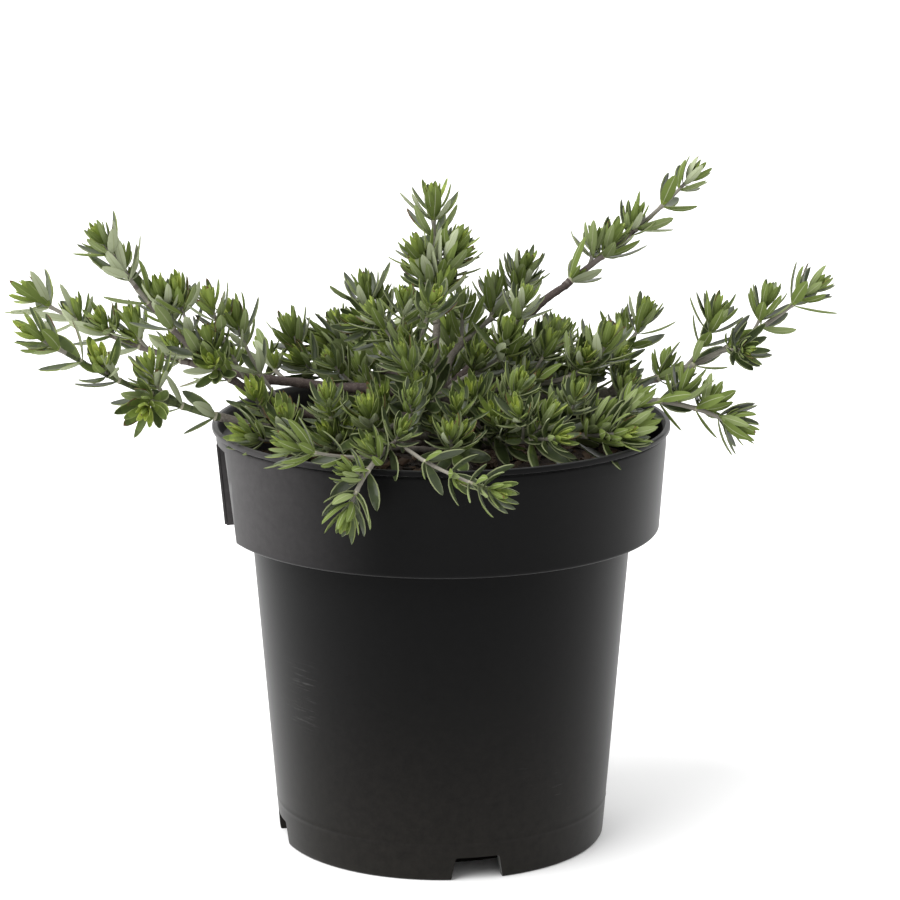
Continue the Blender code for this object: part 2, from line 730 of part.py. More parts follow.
def make_trunk(collection, look):
    """The short leaning trunk with its root flare, cut flat at the soil and at its fork."""
    rises = [0.0, 1.5, TRUNK_RADII[1][0]]
    rises += list(np.linspace(TRUNK_RADII[1][0], TRUNK_HEIGHT - 2.0, TRUNK_POINTS - 3)[1:])
    path = [trunk_centre(rise) for rise in rises]
    path.append(path[-1] + np.array([0.0, 0.0, 2.0]))
    radii = [trunk_radius(rise) for rise in rises] + [trunk_radius(TRUNK_HEIGHT)]
    trunk = tube_curve("trunk", path, radii, collection, resolution=2)
    trunk.data.materials.append(look)
    return trunk


def main():
    for left_over in list(bpy.data.objects):
        bpy.data.objects.remove(left_over)
    plant = add_collection("potted_coast_rosemary")
    helpers = add_collection("helpers")
    make_pot(plant, helpers)
    make_potting_mix(plant, helpers)

    bark = material("bark_brown", BARK_BROWN, 0.85)
    make_trunk(plant, bark)
    sprays = [Spray(values) for values in SPRAYS]
    grow_twigs(sprays)
    space = Space(sprays)
    leaf = leaf_mesh()
    section = triangle_section(helpers)
    green = material("leaf_green", LEAF_GREEN, 0.55)
    for number, spray in enumerate(sprays):
        if spray.cut:
            path, radii = thinned(*spray.bough(), max(4, spray.cut // 6))
            bough = tube_curve(f"bough_{spray.name}", path, radii, plant)
            bough.data.materials.append(bark)
        make_mass(spray, number, space, leaf, section, plant, green)


main()
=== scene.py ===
"""Looks of a potted coast rosemary: a young spreading shrub in a black nursery pot.

The plant grows by the same rule as its solids: stems leave a short trunk, bare boughs carry
them out, and side shoots, whorls of narrow leaves and leaf rosettes follow by a seeded rule.
Lengths of the growth rule are real millimetres. The settings and the finished meshes are in
metres, with the pot's axis on Z, the ground at zero and the front of the plant along -Y.
"""
import math

import bmesh
import bpy
import numpy as np
from bpy.props import FloatProperty, FloatVectorProperty, IntProperty, PointerProperty
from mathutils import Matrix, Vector


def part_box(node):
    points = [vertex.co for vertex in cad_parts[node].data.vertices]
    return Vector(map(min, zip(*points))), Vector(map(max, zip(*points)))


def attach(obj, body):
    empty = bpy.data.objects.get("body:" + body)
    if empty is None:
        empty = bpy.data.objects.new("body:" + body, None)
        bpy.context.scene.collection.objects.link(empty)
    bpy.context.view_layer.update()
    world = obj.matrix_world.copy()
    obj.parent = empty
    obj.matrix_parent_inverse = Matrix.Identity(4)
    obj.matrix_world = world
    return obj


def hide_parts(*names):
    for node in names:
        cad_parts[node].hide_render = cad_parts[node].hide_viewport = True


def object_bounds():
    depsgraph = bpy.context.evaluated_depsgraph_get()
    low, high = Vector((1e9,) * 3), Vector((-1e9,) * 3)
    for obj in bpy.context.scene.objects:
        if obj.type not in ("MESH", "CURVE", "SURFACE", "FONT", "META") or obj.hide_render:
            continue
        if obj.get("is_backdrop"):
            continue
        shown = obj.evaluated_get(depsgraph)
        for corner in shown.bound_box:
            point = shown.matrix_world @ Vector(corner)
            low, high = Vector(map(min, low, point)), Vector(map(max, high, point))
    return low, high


bl_info = {
    "name": "Potted coast rosemary",
    "version": (1, 0, 0),
    "blender": (4, 5, 0),
    "location": "3D View > Sidebar > Rosemary",
    "description": "Models a young coast rosemary with its nursery pot and potting mix",
    "category": "Add Mesh",
}

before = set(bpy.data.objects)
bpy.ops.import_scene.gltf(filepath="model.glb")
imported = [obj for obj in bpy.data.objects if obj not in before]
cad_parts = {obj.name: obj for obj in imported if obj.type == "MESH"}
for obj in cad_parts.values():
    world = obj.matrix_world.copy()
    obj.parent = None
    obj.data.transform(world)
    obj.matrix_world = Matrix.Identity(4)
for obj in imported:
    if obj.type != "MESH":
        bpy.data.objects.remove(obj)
CAD_LOW, CAD_HIGH = (np.array(corner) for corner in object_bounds())
POT_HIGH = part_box("pot")[1]
MIX_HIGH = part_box("potting_mix")[1]
MM = 0.001

# Pot, in millimetres
POT_SIDES = 168
POT_HEIGHT = POT_HIGH.z / MM
LIP_RADIUS = POT_HIGH.x / MM
LIP_DEPTH = 2.1
LIP_FLARE = 0.6
LIP_ROUND = 0.7
LIP_EDGE = 0.4
GROOVE_RADIUS = 88.8
GROOVE_DEPTH = 0.8
COLLAR_TOP_RADIUS = 89.6
COLLAR_FOOT_RADIUS = 87.3
COLLAR_FOOT = 127.5
BODY_TOP_RADIUS = 76.0
BODY_FOOT_RADIUS = 65.8
WALL = 1.6
FLOOR = 1.8
COLLAR_ROUND = 1.2
SHOULDER_ROUND = 1.0
FOOT_ROUND = 1.0
INNER_CORNER = 0.6
PAD_RADIUS = 44.5
PAD_RECESS_RADIUS = 9.0
PAD_RECESS = 0.8
CHANNEL_HEIGHT = 10.4
FOOT_RING = 4.0
MOULD_LINE = 15.5
MOULD_LINE_STEP = 0.12
NOTCH_COUNT = 4
NOTCH_AZIMUTH = -77.5
NOTCH_FOOT_WIDTH = 24.0
NOTCH_TOP_WIDTH = 17.4
NOTCH_HEIGHT = 9.4
NOTCH_DEPTH = 8.0
NOTCH_ROUND = 0.8
PANEL_TOP = 163.5
PANEL_TOP_X = -84.5
PANEL_FOOT_X = -80.0
TAG_TOP = 162.5
TAG_FOOT = 129.5
TAG_WIDTH = 22.0
TAG_TOP_X = -89.1
TAG_FOOT_X = -86.1
TAG_THICKNESS = 1.6
TAG_REACH = 5.2
TAG_ROUND = 1.0
MERGE_DISTANCE = 0.003

# Colours on the black plastic: dust and painted light from the floor low on the body, painted
# light on the collar's left side, and scuffs
DUST_AND_FLOOR_LIGHT_COLOUR = (0.0135, 0.0122, 0.0105, 1.0)
LEFT_LIGHT_COLOUR = (0.050, 0.047, 0.048, 1.0)
SCUFF_COLOUR = (0.75, 0.75, 0.72, 1.0)
# Where the body is scuffed most, in metres
SCUFF_X = (-0.066, -0.046)
SCUFF_Z = (0.052, 0.086)

# Potting mix, in millimetres
MIX_RINGS = 46
MIX_SIDES = 120
MIX_SINK = 1.2
MIX_DROP = 1.6
# The relief of its top: name, size and height of the lumps in metres
MIX_RELIEF = (("lumps", 0.016, 0.0026), ("crumbs", 0.0035, 0.0016))
CHIP_TONES = (("dark", (0.016, 0.011, 0.008)), ("brown", (0.045, 0.026, 0.015)),
              ("pale", (0.085, 0.055, 0.034)))

# Trunk and stems
SOIL = MIX_HIGH.z / MM
GAP = 0.3
TRUNK_FOOT = (4.0, -2.0)
TRUNK_HEAD = (-2.0, 1.0)
TRUNK_HEIGHT = 36.0
TRUNK_RADII = ((0.0, 8.6), (3.0, 7.0), (9.0, 5.9), (20.0, 5.2), (36.0, 4.2))
TWIG_TIP = 0.75
STEM_STEPS = 48
SHOOT_STEPS = 5
STEEP = 70.0
SEAT_STEP = 0.05
SEAT_POINTS = 12
BARE_ROOT = 0.30
INNER_REACH = 95.0
MIDDLE_REACH = 50.0
TRUNK_SIDES = 32
BOUGH_SIDES = 14

# Each spray: name, azimuth and reach of its tip from the trunk's head, height of its tip,
# height above the soil where it leaves the trunk, elevation as it leaves and as it ends,
# sideways bend, and the part of its stem that is bare bough. Then its side shoots: place
# along the stem, length, and lean from upright towards the stem's left.
SPRAYS = (
    ("left_high", 189, 132, 247, 26, -16, 58, 3, 0.52,
     ((0.55, 15, 5), (0.60, 28, 0), (0.71, 15, 0), (0.87, 8, -50))),
    ("left_middle", 167, 170, 213, 31, 0, 24, 6, 0.48,
     ((0.52, 27, 0), (0.66, 14, 8), (0.76, 11, 40))),
    ("left_low", 195, 161, 213, 12, 2, 34, -3, 0.50,
     ((0.62, 16, 0), (0.64, 15, 112), (0.80, 9, 40))),
    ("right_high", 25, 115, 261, 28, 42, 42, 0, 0.46,
     ((0.54, 12, 35), (0.61, 9, -25), (0.71, 9, -10))),
    ("right_low", 0, 150, 224, 22, 4, 42, 2, 0.50,
     ((0.58, 26, -6), (0.69, 18, -95), (0.79, 15, 10))),
    ("right_under", 350, 121, 171, 14, 16, -30, -4, 0.54,
     ((0.72, 11, 10), (0.84, 10, 60))),
    ("centre_top", 94, 19, 256, 36, 80, 96, 20, 0.30,
     ((0.38, 15, 45), (0.46, 16, -60), (0.32, 14, 150))),
    ("front_trailing", 253, 112, 156, 8, 22, -56, 10, 0.60,
     ((0.68, 36, -66), (0.52, 64, 98))),
    ("front_middle", 274, 78, 182, 16, 12, 60, 8, 0.52, ((0.80, 9, 30),)),
    ("left_front", 212, 87, 174, 6, 12, 20, -4, 0.52, ((0.70, 14, 15),)),
    ("front_left", 231, 66, 175, 15, 8, 50, -2, 0.46, ((0.74, 10, 30),)),
    ("front_inner_left", 247, 66, 187, 23, 20, 72, 2, 0.46, ((0.66, 12, -30),)),
    ("front_inner_right", 298, 61, 181, 24, 10, 50, 3, 0.46, ((0.74, 12, -35),)),
    ("front_right", 304, 84, 178, 5, 20, 14, -8, 0.52, ((0.72, 15, 25),)),
    ("right_front", 322, 91, 177, 9, 16, 14, -4, 0.55, ((0.76, 12, 40),)),
    ("right_side", 339, 74, 174, 19, 2, 40, -12, 0.46, ((0.72, 13, 35),)),
    ("left_inner", 151, 68, 201, 20, 4, 72, -2, 0.46, ((0.60, 16, 60),)),
    ("left_inner_back", 130, 64, 200, 27, 14, 72, -12, 0.44, ((0.66, 15, 75),)),
    ("left_upper", 150, 33, 220, 28, 34, 80, -18, 0.0, ((0.60, 12, -50), (0.45, 20, 80))),
    ("centre_front", 240, 26, 206, 28, 44, 86, 3, 0.0, ((0.5, 10, -60),)),
    ("centre_low", 262, 46, 193, 29, 16, 80, 8, 0.42, ()),
    ("right_upper", 44, 48, 223, 25, 56, 82, 34, 0.34, ((0.56, 14, 30),)),
    ("right_centre", 342, 32, 206, 29, 40, 82, -10, 0.0, ((0.60, 14, -30),)),
    ("right_inner_back", 22, 52, 202, 26, 20, 78, 12, 0.40, ((0.62, 13, -30),)),
    ("right_inner", 347, 69, 206, 28, 16, 74, 3, 0.40, ((0.60, 14, 35), (0.66, 12, -40))),
    ("right_back", 21, 91, 207, 18, 6, 70, 16, 0.46, ((0.64, 13, -60), (0.74, 14, 35))),
    ("back_left", 112, 88, 194, 17, 4, 55, -4, 0.44, ((0.64, 16, -20), (0.80, 14, 25))),
    ("back_middle", 84, 74, 198, 24, 12, 65, -4, 0.42, ((0.62, 16, 20),)),
    ("back_right", 56, 92, 190, 12, 2, 50, 5, 0.46, ((0.64, 15, 25), (0.80, 14, -25))),
)

# A rosette's tiers of leaves, from the outside in: leaves, spread from the stem, length,
# width, curl of the tip towards the stem, drop below the stem's tip, and age
ROSETTE = (
    (4, 62, 14.6, 3.4, 38, 8.0, 0.80),
    (4, 54, 12.8, 2.9, 40, 5.6, 0.62),
    (4, 43, 11.0, 2.6, 34, 3.6, 0.42),
    (4, 30, 9.0, 2.2, 24, 2.2, 0.22),
    (3, 14, 6.6, 1.8, 10, 1.1, 0.05),
)
TUFT = (
    (2, 56, 8.0, 2.1, 42, 1.2, 0.46),
    (2, 38, 6.8, 1.9, 28, 0.6, 0.30),
    (2, 16, 4.8, 1.4, 12, 0.2, 0.12),
)

# Sprays whose leaves are paler or darker than the rest, as if younger or older: painted light on
# the left and top sprays, which face the key light, and painted shade on the right sprays and the
# low trailing one
TONES = {"left_high": -0.12, "left_middle": -0.17, "left_low": -0.22, "centre_top": -0.06,
         "right_low": 0.15, "right_under": 0.15, "right_high": 0.08, "right_back": 0.06,
         "right_upper": 0.06, "right_side": 0.06, "right_front": 0.06, "front_trailing": 0.14}

# Stems whose old bark is dark; the others are felted grey
DARK_STEMS = ("left_high", "left_middle", "right_high", "back_left", "left_inner_back")

# Shoots beside those of the solids, listed one by one: place along the stem, length and lean
FINER = {
    "left_high": ((0.36, 42, -8), (0.43, 42, 4), (0.54, 12, 75)),
    "centre_top": ((0.30, 15, -28), (0.45, 17, 38), (0.47, 19, -45)),
    "centre_front": ((0.35, 40, 40),),
    "right_upper": ((0.88, 11, -20),),
    "right_front": ((0.80, 24, 52), (0.90, 13, 85)),
    "left_middle": ((0.30, 26, -72), (0.40, 20, -80)),
    "left_inner_back": ((0.55, 22, 75), (0.75, 16, 85)),
    "back_left": ((0.46, 24, 72), (0.60, 20, 78), (0.50, 18, -78)),
    "back_middle": ((0.45, 20, 75), (0.55, 20, -75)),
    "back_right": ((0.45, 22, 75), (0.55, 18, -78)),
}

# Stems whose whorls stand closer together, and by how much
CLOSE_WHORLS = {"centre_top": 0.7}

# Shoots that are added by rule: the shares of a stem's length where they are tried, the tries
# at each place and how far off it they may stand, the share of places that a long spray leaves
# empty, their lengths and most lean, and the room they and the rosettes at their tips take
BELOW_LEAVES = 0.22
FIRST_PLACE = 0.26
LAST_PLACE = 0.95
PLACE_STEP = 0.04
PLACE_PLAY = 0.02
PLACE_TRIES = 7
OUTER_EMPTY = 0.8
DENSE_LENGTHS = (8.0, 28.0)
OUTER_LENGTHS = (5.0, 9.0)
SHOOT_LEAN = 45.0
SHOOT_ROOM = 2.0
ROSETTE_ROOM = 9.0

# Whorls: the bare share of a side shoot on a long spray, where leaves start on other twigs and
# end below the rosette, and the length towards a tip over which they stand closer together
BARE_SHOOT = 0.4
FIRST_WHORL = 3.0
LAST_WHORL = 6.0
TIP_LENGTH = 40.0

# Start of each spray's own random draws
SPRAY_SEED = 300

# Leaves: how far they turn their upper side to the light, the size of those on side shoots,
# the chance of a tuft in a whorl, and the size of the rosettes that the solids also have
LEAF_LIFT = 0.25
SHOOT_LEAVES = 0.82
TUFT_CHANCE = 0.3
DRAWN_ROSETTE = 1.14

# Old bark: its cracks, and the grey felt over it
CRACK_COLOUR = (0.150, 0.125, 0.105, 1.0)
FELT_COLOUR = (0.235, 0.218, 0.186, 1.0)

# Camera and lights: place in metres, tilt down and spread in degrees
CAMERA_PLACE = (0.0035, -1.3327, 0.4614)
CAMERA_TILT = 12.84
KEY_LIGHT = ((-0.72, -0.45, 0.9), 55.0)
RIM_LIGHT = ((0.25, 0.9, 1.0), 90.0)
RIM_SHARE = 0.45

# The crown between the long sprays: how high shoots reach, in millimetres, at distances from
# its middle
CROWN_MIDDLE = (4.0, 0.0)
CROWN = ((0.0, 234.0), (26.0, 231.0), (46.0, 209.0), (62.0, 206.0), (84.0, 186.0))


class PotSettings(bpy.types.PropertyGroup):
    colour: FloatVectorProperty(
        name="Colour", description="Colour of the plastic", subtype="COLOR", size=3,
        min=0.0, max=1.0, default=(0.0040, 0.0040, 0.0042))
    roughness: FloatProperty(
        name="Roughness", description="Roughness of the moulded surface", default=0.42,
        min=0.0, max=1.0, subtype="FACTOR")
    sheen: FloatProperty(
        name="Sheen", description="How pale the plastic looks where it turns away", default=0.175,
        min=0.0, max=1.0, subtype="FACTOR")
    scuffs: FloatProperty(
        name="Scuffs", description="How pale the rubbed marks are", default=0.05,
        min=0.0, max=1.0, subtype="FACTOR")


class MixSettings(bpy.types.PropertyGroup):
    colour: FloatVectorProperty(
        name="Colour", description="Colour of the moist potting mix", subtype="COLOR", size=3,
        min=0.0, max=1.0, default=(0.020, 0.013, 0.009))
    chips: IntProperty(
        name="Chips", description="Pieces of bark on the mix", default=900, min=0, max=3000)
    chip_size: FloatProperty(
        name="Chip size", description="Mean length of a piece of bark", default=0.0042,
        min=0.0005, max=0.02, unit="LENGTH")


class PlantSettings(bpy.types.PropertyGroup):
    leaf_length: FloatProperty(
        name="Leaf length", description="Length of a full-grown leaf", default=0.0180,
        min=0.002, max=0.05, unit="LENGTH")
    leaf_width: FloatProperty(
        name="Leaf width", description="Width of a full-grown leaf", default=0.0050,
        min=0.001, max=0.02, unit="LENGTH")
    leaf_thickness: FloatProperty(
        name="Leaf thickness", description="Thickness at the middle of a leaf", default=0.0005,
        min=0.0001, max=0.002, unit="LENGTH")
    internode: FloatProperty(
        name="Internode", description="Distance between two whorls on a long stem",
        default=0.0155, min=0.003, max=0.05, unit="LENGTH")
    shoot_spacing: FloatProperty(
        name="Shoot spacing", description="Least distance between two rosettes", default=0.0144,
        min=0.004, max=0.05, unit="LENGTH")
    bark_colour: FloatVectorProperty(
        name="Bark colour", description="Colour of the old stems", subtype="COLOR", size=3,
        min=0.0, max=1.0, default=(0.060, 0.044, 0.040))


class StageSettings(bpy.types.PropertyGroup):
    floor_size: FloatProperty(
        name="Floor size", description="Side of the pale floor", default=24.0, min=1.0,
        unit="LENGTH")
    lens: FloatProperty(
        name="Lens", description="Focal length of the camera", default=136.96, min=20.0,
        unit="CAMERA")
    sky: FloatProperty(
        name="Sky", description="Strength of the even white light", default=0.80, min=0.0)
    key: FloatProperty(
        name="Key", description="Strength of the soft light from the left", default=3.2,
        min=0.0)


# Shader expressions


class Value:
    """A node's output, which can be used in arithmetic."""

    def __init__(self, look, socket):
        self.look, self.socket = look, socket

    def maths(self, operation, *values):
        return self.look.node("ShaderNodeMath", {"operation": operation},
                              dict(enumerate(values)))["Value"]

    def __add__(self, other):
        return self.maths("ADD", self, other)

    def __sub__(self, other):
        return self.maths("SUBTRACT", self, other)

    def __rsub__(self, other):
        return self.maths("SUBTRACT", other, self)

    def __mul__(self, other):
        return self.maths("MULTIPLY", self, other)

    def __pow__(self, other):
        return self.maths("POWER", self, other)

    __radd__ = __add__
    __rmul__ = __mul__


class Look:
    """A material in the making, with one Principled shader."""

    def __init__(self, name, colour, roughness, **constants):
        self.material = bpy.data.materials.new(name)
        self.material.use_nodes = True
        self.nodes = self.material.node_tree.nodes
        self.links = self.material.node_tree.links
        self.shader = self.nodes["Principled BSDF"]
        self.material.diffuse_color = (*colour, 1.0)
        self.feed("Base Color", (*colour, 1.0))
        self.feed("Roughness", roughness)
        for socket, value in constants.items():
            self.feed(socket.replace("_", " "), value)

    def put(self, socket, value):
        if isinstance(value, Value):
            self.links.new(value.socket, socket)
        else:
            socket.default_value = value

    def feed(self, name, value):
        self.put(self.shader.inputs[name], value)

    def node(self, kind, settings=None, inputs=None):
        """Add a node, set it up, fill its sockets, and return its outputs by name."""
        made = self.nodes.new(kind)
        for name, value in (settings or {}).items():
            setattr(made, name, value)
        for name, value in (inputs or {}).items():
            self.put(made.inputs[name], value)
        return {output.name: Value(self, output) for output in made.outputs if output.enabled}

    def noise(self, place, scale, detail=3.0, rough=0.55):
        return self.node("ShaderNodeTexNoise", None, {
            "Vector": place, "Scale": scale, "Detail": detail, "Roughness": rough})["Fac"]

    def place(self, kind="Object", scale=(1.0, 1.0, 1.0), move=(0.0, 0.0, 0.0)):
        where = self.node("ShaderNodeTexCoord")[kind]
        return self.node("ShaderNodeMapping", None, {
            "Vector": where, "Location": move, "Scale": scale})["Vector"]

    def band(self, value, low, high):
        """Zero below low, one above high, smooth between."""
        return self.node("ShaderNodeMapRange", {"interpolation_type": "SMOOTHSTEP"}, {
            "Value": value, "From Min": low, "From Max": high})["Result"]

    def window(self, value, limits, soft):
        """One between two limits, zero outside them, with soft edges."""
        low, high = limits
        return self.band(value, low, low + soft) * (1.0 - self.band(value, high - soft, high))

    def blend(self, share, first, second):
        return self.node("ShaderNodeMix", {"data_type": "RGBA"}, {
            0: share, 6: first, 7: second})["Result"]

    def bump(self, height, strength, distance):
        normal = self.node("ShaderNodeBump", None, {
            "Height": height, "Strength": strength, "Distance": distance})["Normal"]
        self.feed("Normal", normal)


def grey(colour, factor):
    return (*(channel * factor for channel in colour), 1.0)


def pot_plastic(settings, name, sheen):
    """Black moulded plastic: fine grain, slow changes of sheen, dust and painted floor light
    towards the foot, painted light on the collar's left, rubs.
    """
    look = Look(name, settings.colour, settings.roughness, Specular_IOR_Level=0.05,
                Sheen_Weight=sheen, Sheen_Roughness=0.43)
    body = look.place()
    spot = look.node("ShaderNodeSeparateXYZ", None, {"Vector": body})
    # Paler towards the foot: dust, and painted light bounced up from the floor
    low = (1.0 - look.band(spot["Z"], -0.03, 0.125)) ** 1.5
    # Painted light: the collar's left side, which faces the key light, is paler
    left_light = look.band(spot["X"] * -1.0, 0.02, 0.10) * look.band(spot["Z"], 0.125, 0.130)
    flow = look.noise(look.place(scale=(1.0, 1.0, 0.35)), 26.0, 4.0)
    grain = look.noise(body, 1900.0, 2.0)
    mottle = look.noise(body, 300.0, 5.0, 0.7)
    streaks = look.noise(look.place(scale=(0.35, 0.35, 6.0)), 210.0, 5.0, 0.7)
    patches = look.noise(look.place(move=(0.31, 0.17, 0.0)), 17.0, 2.0)
    mark = (look.window(spot["X"], SCUFF_X, 0.006) * look.window(spot["Z"], SCUFF_Z, 0.008)
            * look.band(spot["Y"] * -1.0, 0.0, 0.02))
    rubs = (look.band(streaks, 0.62, 0.74) * look.band(patches, 0.58, 0.70)
            + look.band(streaks, 0.54, 0.70) * mark * 0.8)
    plain = look.blend(flow * 0.6 + mottle * 0.4, grey(settings.colour, 0.1),
                       grey(settings.colour, 0.9))
    # Blend in the dust and painted floor light towards the foot
    dust_and_light = look.blend(low * (0.25 + mottle * 1.5), plain, DUST_AND_FLOOR_LIGHT_COLOUR)
    # Blend in the painted light on the collar's left side
    dust_and_light = look.blend(left_light * (0.6 + mottle * 0.8), dust_and_light, LEFT_LIGHT_COLOUR)
    look.feed("Base Color", look.blend(rubs * settings.scuffs, dust_and_light, SCUFF_COLOUR))
    look.feed("Roughness", settings.roughness - 0.06 + flow * 0.12 + rubs * 0.15)
    look.bump(grain * 0.6 + mottle * 0.3 + streaks * 0.2, 0.25, 0.00014)
    return look.material


def potting_look(settings):
    """Dark moist compost with paler fibres."""
    look = Look("potting_mix_crumb", settings.colour, 0.92, Specular_IOR_Level=0.2)
    body = look.place()
    crumbs = look.noise(body, 380.0, 8.0, 0.72)
    patches = look.noise(body, 45.0, 3.0)
    dark = look.blend(patches, grey(settings.colour, 0.55), grey(settings.colour, 1.5))
    look.feed("Base Color", look.blend(look.band(crumbs, 0.48, 0.72), dark,
                                       grey(settings.colour, 3.6)))
    look.bump(crumbs, 0.9, 0.0012)
    return look.material


def bark_look(settings):
    """Thin purple-brown bark with paler lengthwise cracks and grey patches."""
    look = Look("stem_bark", settings.bark_colour, 0.8, Specular_IOR_Level=0.25)
    along = look.noise(look.place("UV", (2.2, 0.16, 1.0)), 7.0, 6.0, 0.65)
    patches = look.noise(look.place(), 130.0, 4.0)
    cracks = look.band(along, 0.50, 0.68)
    brown = look.blend(patches, grey(settings.bark_colour, 0.62),
                       grey(settings.bark_colour, 1.35))
    bare = look.blend(cracks * 0.7, brown, CRACK_COLOUR)
    felt = look.node("ShaderNodeAttribute", {"attribute_name": "grey_felt"})["Fac"]
    worn = look.band(along + patches * 0.5, 0.52, 0.92)
    look.feed("Base Color", look.blend(felt * (1.0 - worn * 0.7), bare, FELT_COLOUR))
    look.feed("Roughness", 0.74 + cracks * 0.16)
    look.bump(along + patches * 0.4, 0.7, 0.00035)
    return look.material


# Selecting and finishing meshes


def clear_selection():
    if bpy.context.object and bpy.context.object.mode != "OBJECT":
        bpy.ops.object.mode_set(mode="OBJECT")
    bpy.ops.object.select_all(action="DESELECT")


def pick(piece):
    clear_selection()
    piece.select_set(True)
    bpy.context.view_layer.objects.active = piece


def named(name):
    """Name the primitive that was just added."""
    piece = bpy.context.object
    piece.name = name
    piece.data.name = name
    return piece


def apply_modifier(piece, kind, **settings):
    pick(piece)
    bpy.ops.object.modifier_add(type=kind)
    step = piece.modifiers[-1]
    for name, value in settings.items():
        setattr(step, name, value)
    bpy.ops.object.modifier_apply(modifier=step.name)


def settle(piece, slot, *nodes):
    """Put the piece's place into its mesh, and hand it to the frame."""
    pick(piece)
    bpy.ops.object.transform_apply(location=True, rotation=True, scale=True)
    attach(piece, "root")
    if nodes:
        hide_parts(*nodes)


def lathe(name, profile, sides):
    """Draw a profile in millimetres from one vertex, and spin it once round the Z axis."""
    clear_selection()
    bpy.ops.mesh.primitive_plane_add(size=MM, location=(0.0, 0.0, 0.0))
    piece = named(name)
    bpy.ops.object.mode_set(mode="EDIT")
    bpy.ops.mesh.select_mode(type="VERT")
    bpy.ops.mesh.merge(type="CENTER")
    points = [Vector((radius * MM, 0.0, height * MM)) for radius, height in profile]
    bpy.ops.transform.translate(value=points[0])
    for last, point in zip(points, points[1:]):
        bpy.ops.mesh.extrude_region_move(TRANSFORM_OT_translate={"value": point - last})
    bpy.ops.mesh.select_all(action="SELECT")
    bpy.ops.mesh.spin(steps=sides, angle=math.tau, center=(0.0, 0.0, 0.0), axis=(0.0, 0.0, 1.0))
    bpy.ops.mesh.select_all(action="SELECT")
    bpy.ops.mesh.remove_doubles(threshold=MERGE_DISTANCE * MM)
    bpy.ops.mesh.normals_make_consistent(inside=False)
    bpy.ops.object.mode_set(mode="OBJECT")
    return piece


def arc(centre, radius, first, last, steps):
    """Points on a round corner of a profile; angles in degrees from the outward direction."""
    return [(centre[0] + radius * math.cos(math.radians(angle)),
             centre[1] + radius * math.sin(math.radians(angle)))
            for angle in np.linspace(first, last, steps + 1)]


# Pot


def wall_radius(height):
    return BODY_FOOT_RADIUS + (BODY_TOP_RADIUS - BODY_FOOT_RADIUS) * height / COLLAR_FOOT


def collar_inside(height):
    rise = (height - COLLAR_FOOT) / (POT_HEIGHT - COLLAR_FOOT)
    return COLLAR_FOOT_RADIUS - WALL + (COLLAR_TOP_RADIUS - COLLAR_FOOT_RADIUS) * rise


def panel_x(height):
    """Where the flat label panel stands at a height."""
    share = (PANEL_TOP - height) / (PANEL_TOP - COLLAR_FOOT)
    return PANEL_TOP_X + (PANEL_FOOT_X - PANEL_TOP_X) * share


def pot_outside():
    """The pot's outer profile, from the top of its lip down to the axis."""
    ring_inner = BODY_FOOT_RADIUS - FOOT_RING
    lip = LIP_RADIUS + LIP_FLARE
    under = POT_HEIGHT - LIP_DEPTH
    groove = under - GROOVE_DEPTH
    points = arc((lip - LIP_ROUND, POT_HEIGHT - LIP_ROUND), LIP_ROUND, 90, 0, 5)
    points += arc((lip - LIP_EDGE, under + LIP_EDGE), LIP_EDGE, 0, -90, 3)
    points += [(GROOVE_RADIUS, under - 0.1), (GROOVE_RADIUS, groove),
               (COLLAR_TOP_RADIUS - 0.15, groove - 0.15), (COLLAR_TOP_RADIUS, groove - 0.4),
               (COLLAR_TOP_RADIUS, groove - 1.0), (COLLAR_TOP_RADIUS, PANEL_TOP),
               (COLLAR_TOP_RADIUS, PANEL_TOP - 0.5), (COLLAR_TOP_RADIUS, PANEL_TOP - 1.8)]
    straight = COLLAR_FOOT + 2.0
    points += [(COLLAR_FOOT_RADIUS + (COLLAR_TOP_RADIUS - COLLAR_FOOT_RADIUS) * share,
                straight + (PANEL_TOP - 1.8 - straight) * share)
               for share in (0.75, 0.5, 0.25)]
    points += [(COLLAR_FOOT_RADIUS, straight)]
    points += arc((COLLAR_FOOT_RADIUS - COLLAR_ROUND, COLLAR_FOOT + COLLAR_ROUND), COLLAR_ROUND,
                  0, -90, 4)
    points += [(BODY_TOP_RADIUS + SHOULDER_ROUND + 0.4, COLLAR_FOOT)]
    points += arc((BODY_TOP_RADIUS + SHOULDER_ROUND, COLLAR_FOOT - SHOULDER_ROUND),
                  SHOULDER_ROUND, 110, 180, 3)
    points += [(wall_radius(height), height) for height in
               (COLLAR_FOOT - 2.5, 100.0, 70.0, 40.0, MOULD_LINE + 2.0, MOULD_LINE + 0.5)]
    points += [(wall_radius(MOULD_LINE) + MOULD_LINE_STEP, MOULD_LINE)]
    points += [(wall_radius(height), height)
               for height in (MOULD_LINE - 0.5, MOULD_LINE - 2.0, 2.4)]
    points += arc((BODY_FOOT_RADIUS - FOOT_ROUND, FOOT_ROUND), FOOT_ROUND, 0, -90, 4)
    points += [(ring_inner, 0.0), (ring_inner - 0.4, CHANNEL_HEIGHT),
               (PAD_RADIUS + 1.8, CHANNEL_HEIGHT), (PAD_RADIUS + 0.3, 0.3), (PAD_RADIUS, 0.0),
               (PAD_RECESS_RADIUS, 0.0), (PAD_RECESS_RADIUS - PAD_RECESS, PAD_RECESS),
               (2.4, PAD_RECESS), (2.0, 0.3), (0.0, 0.3)]
    return points


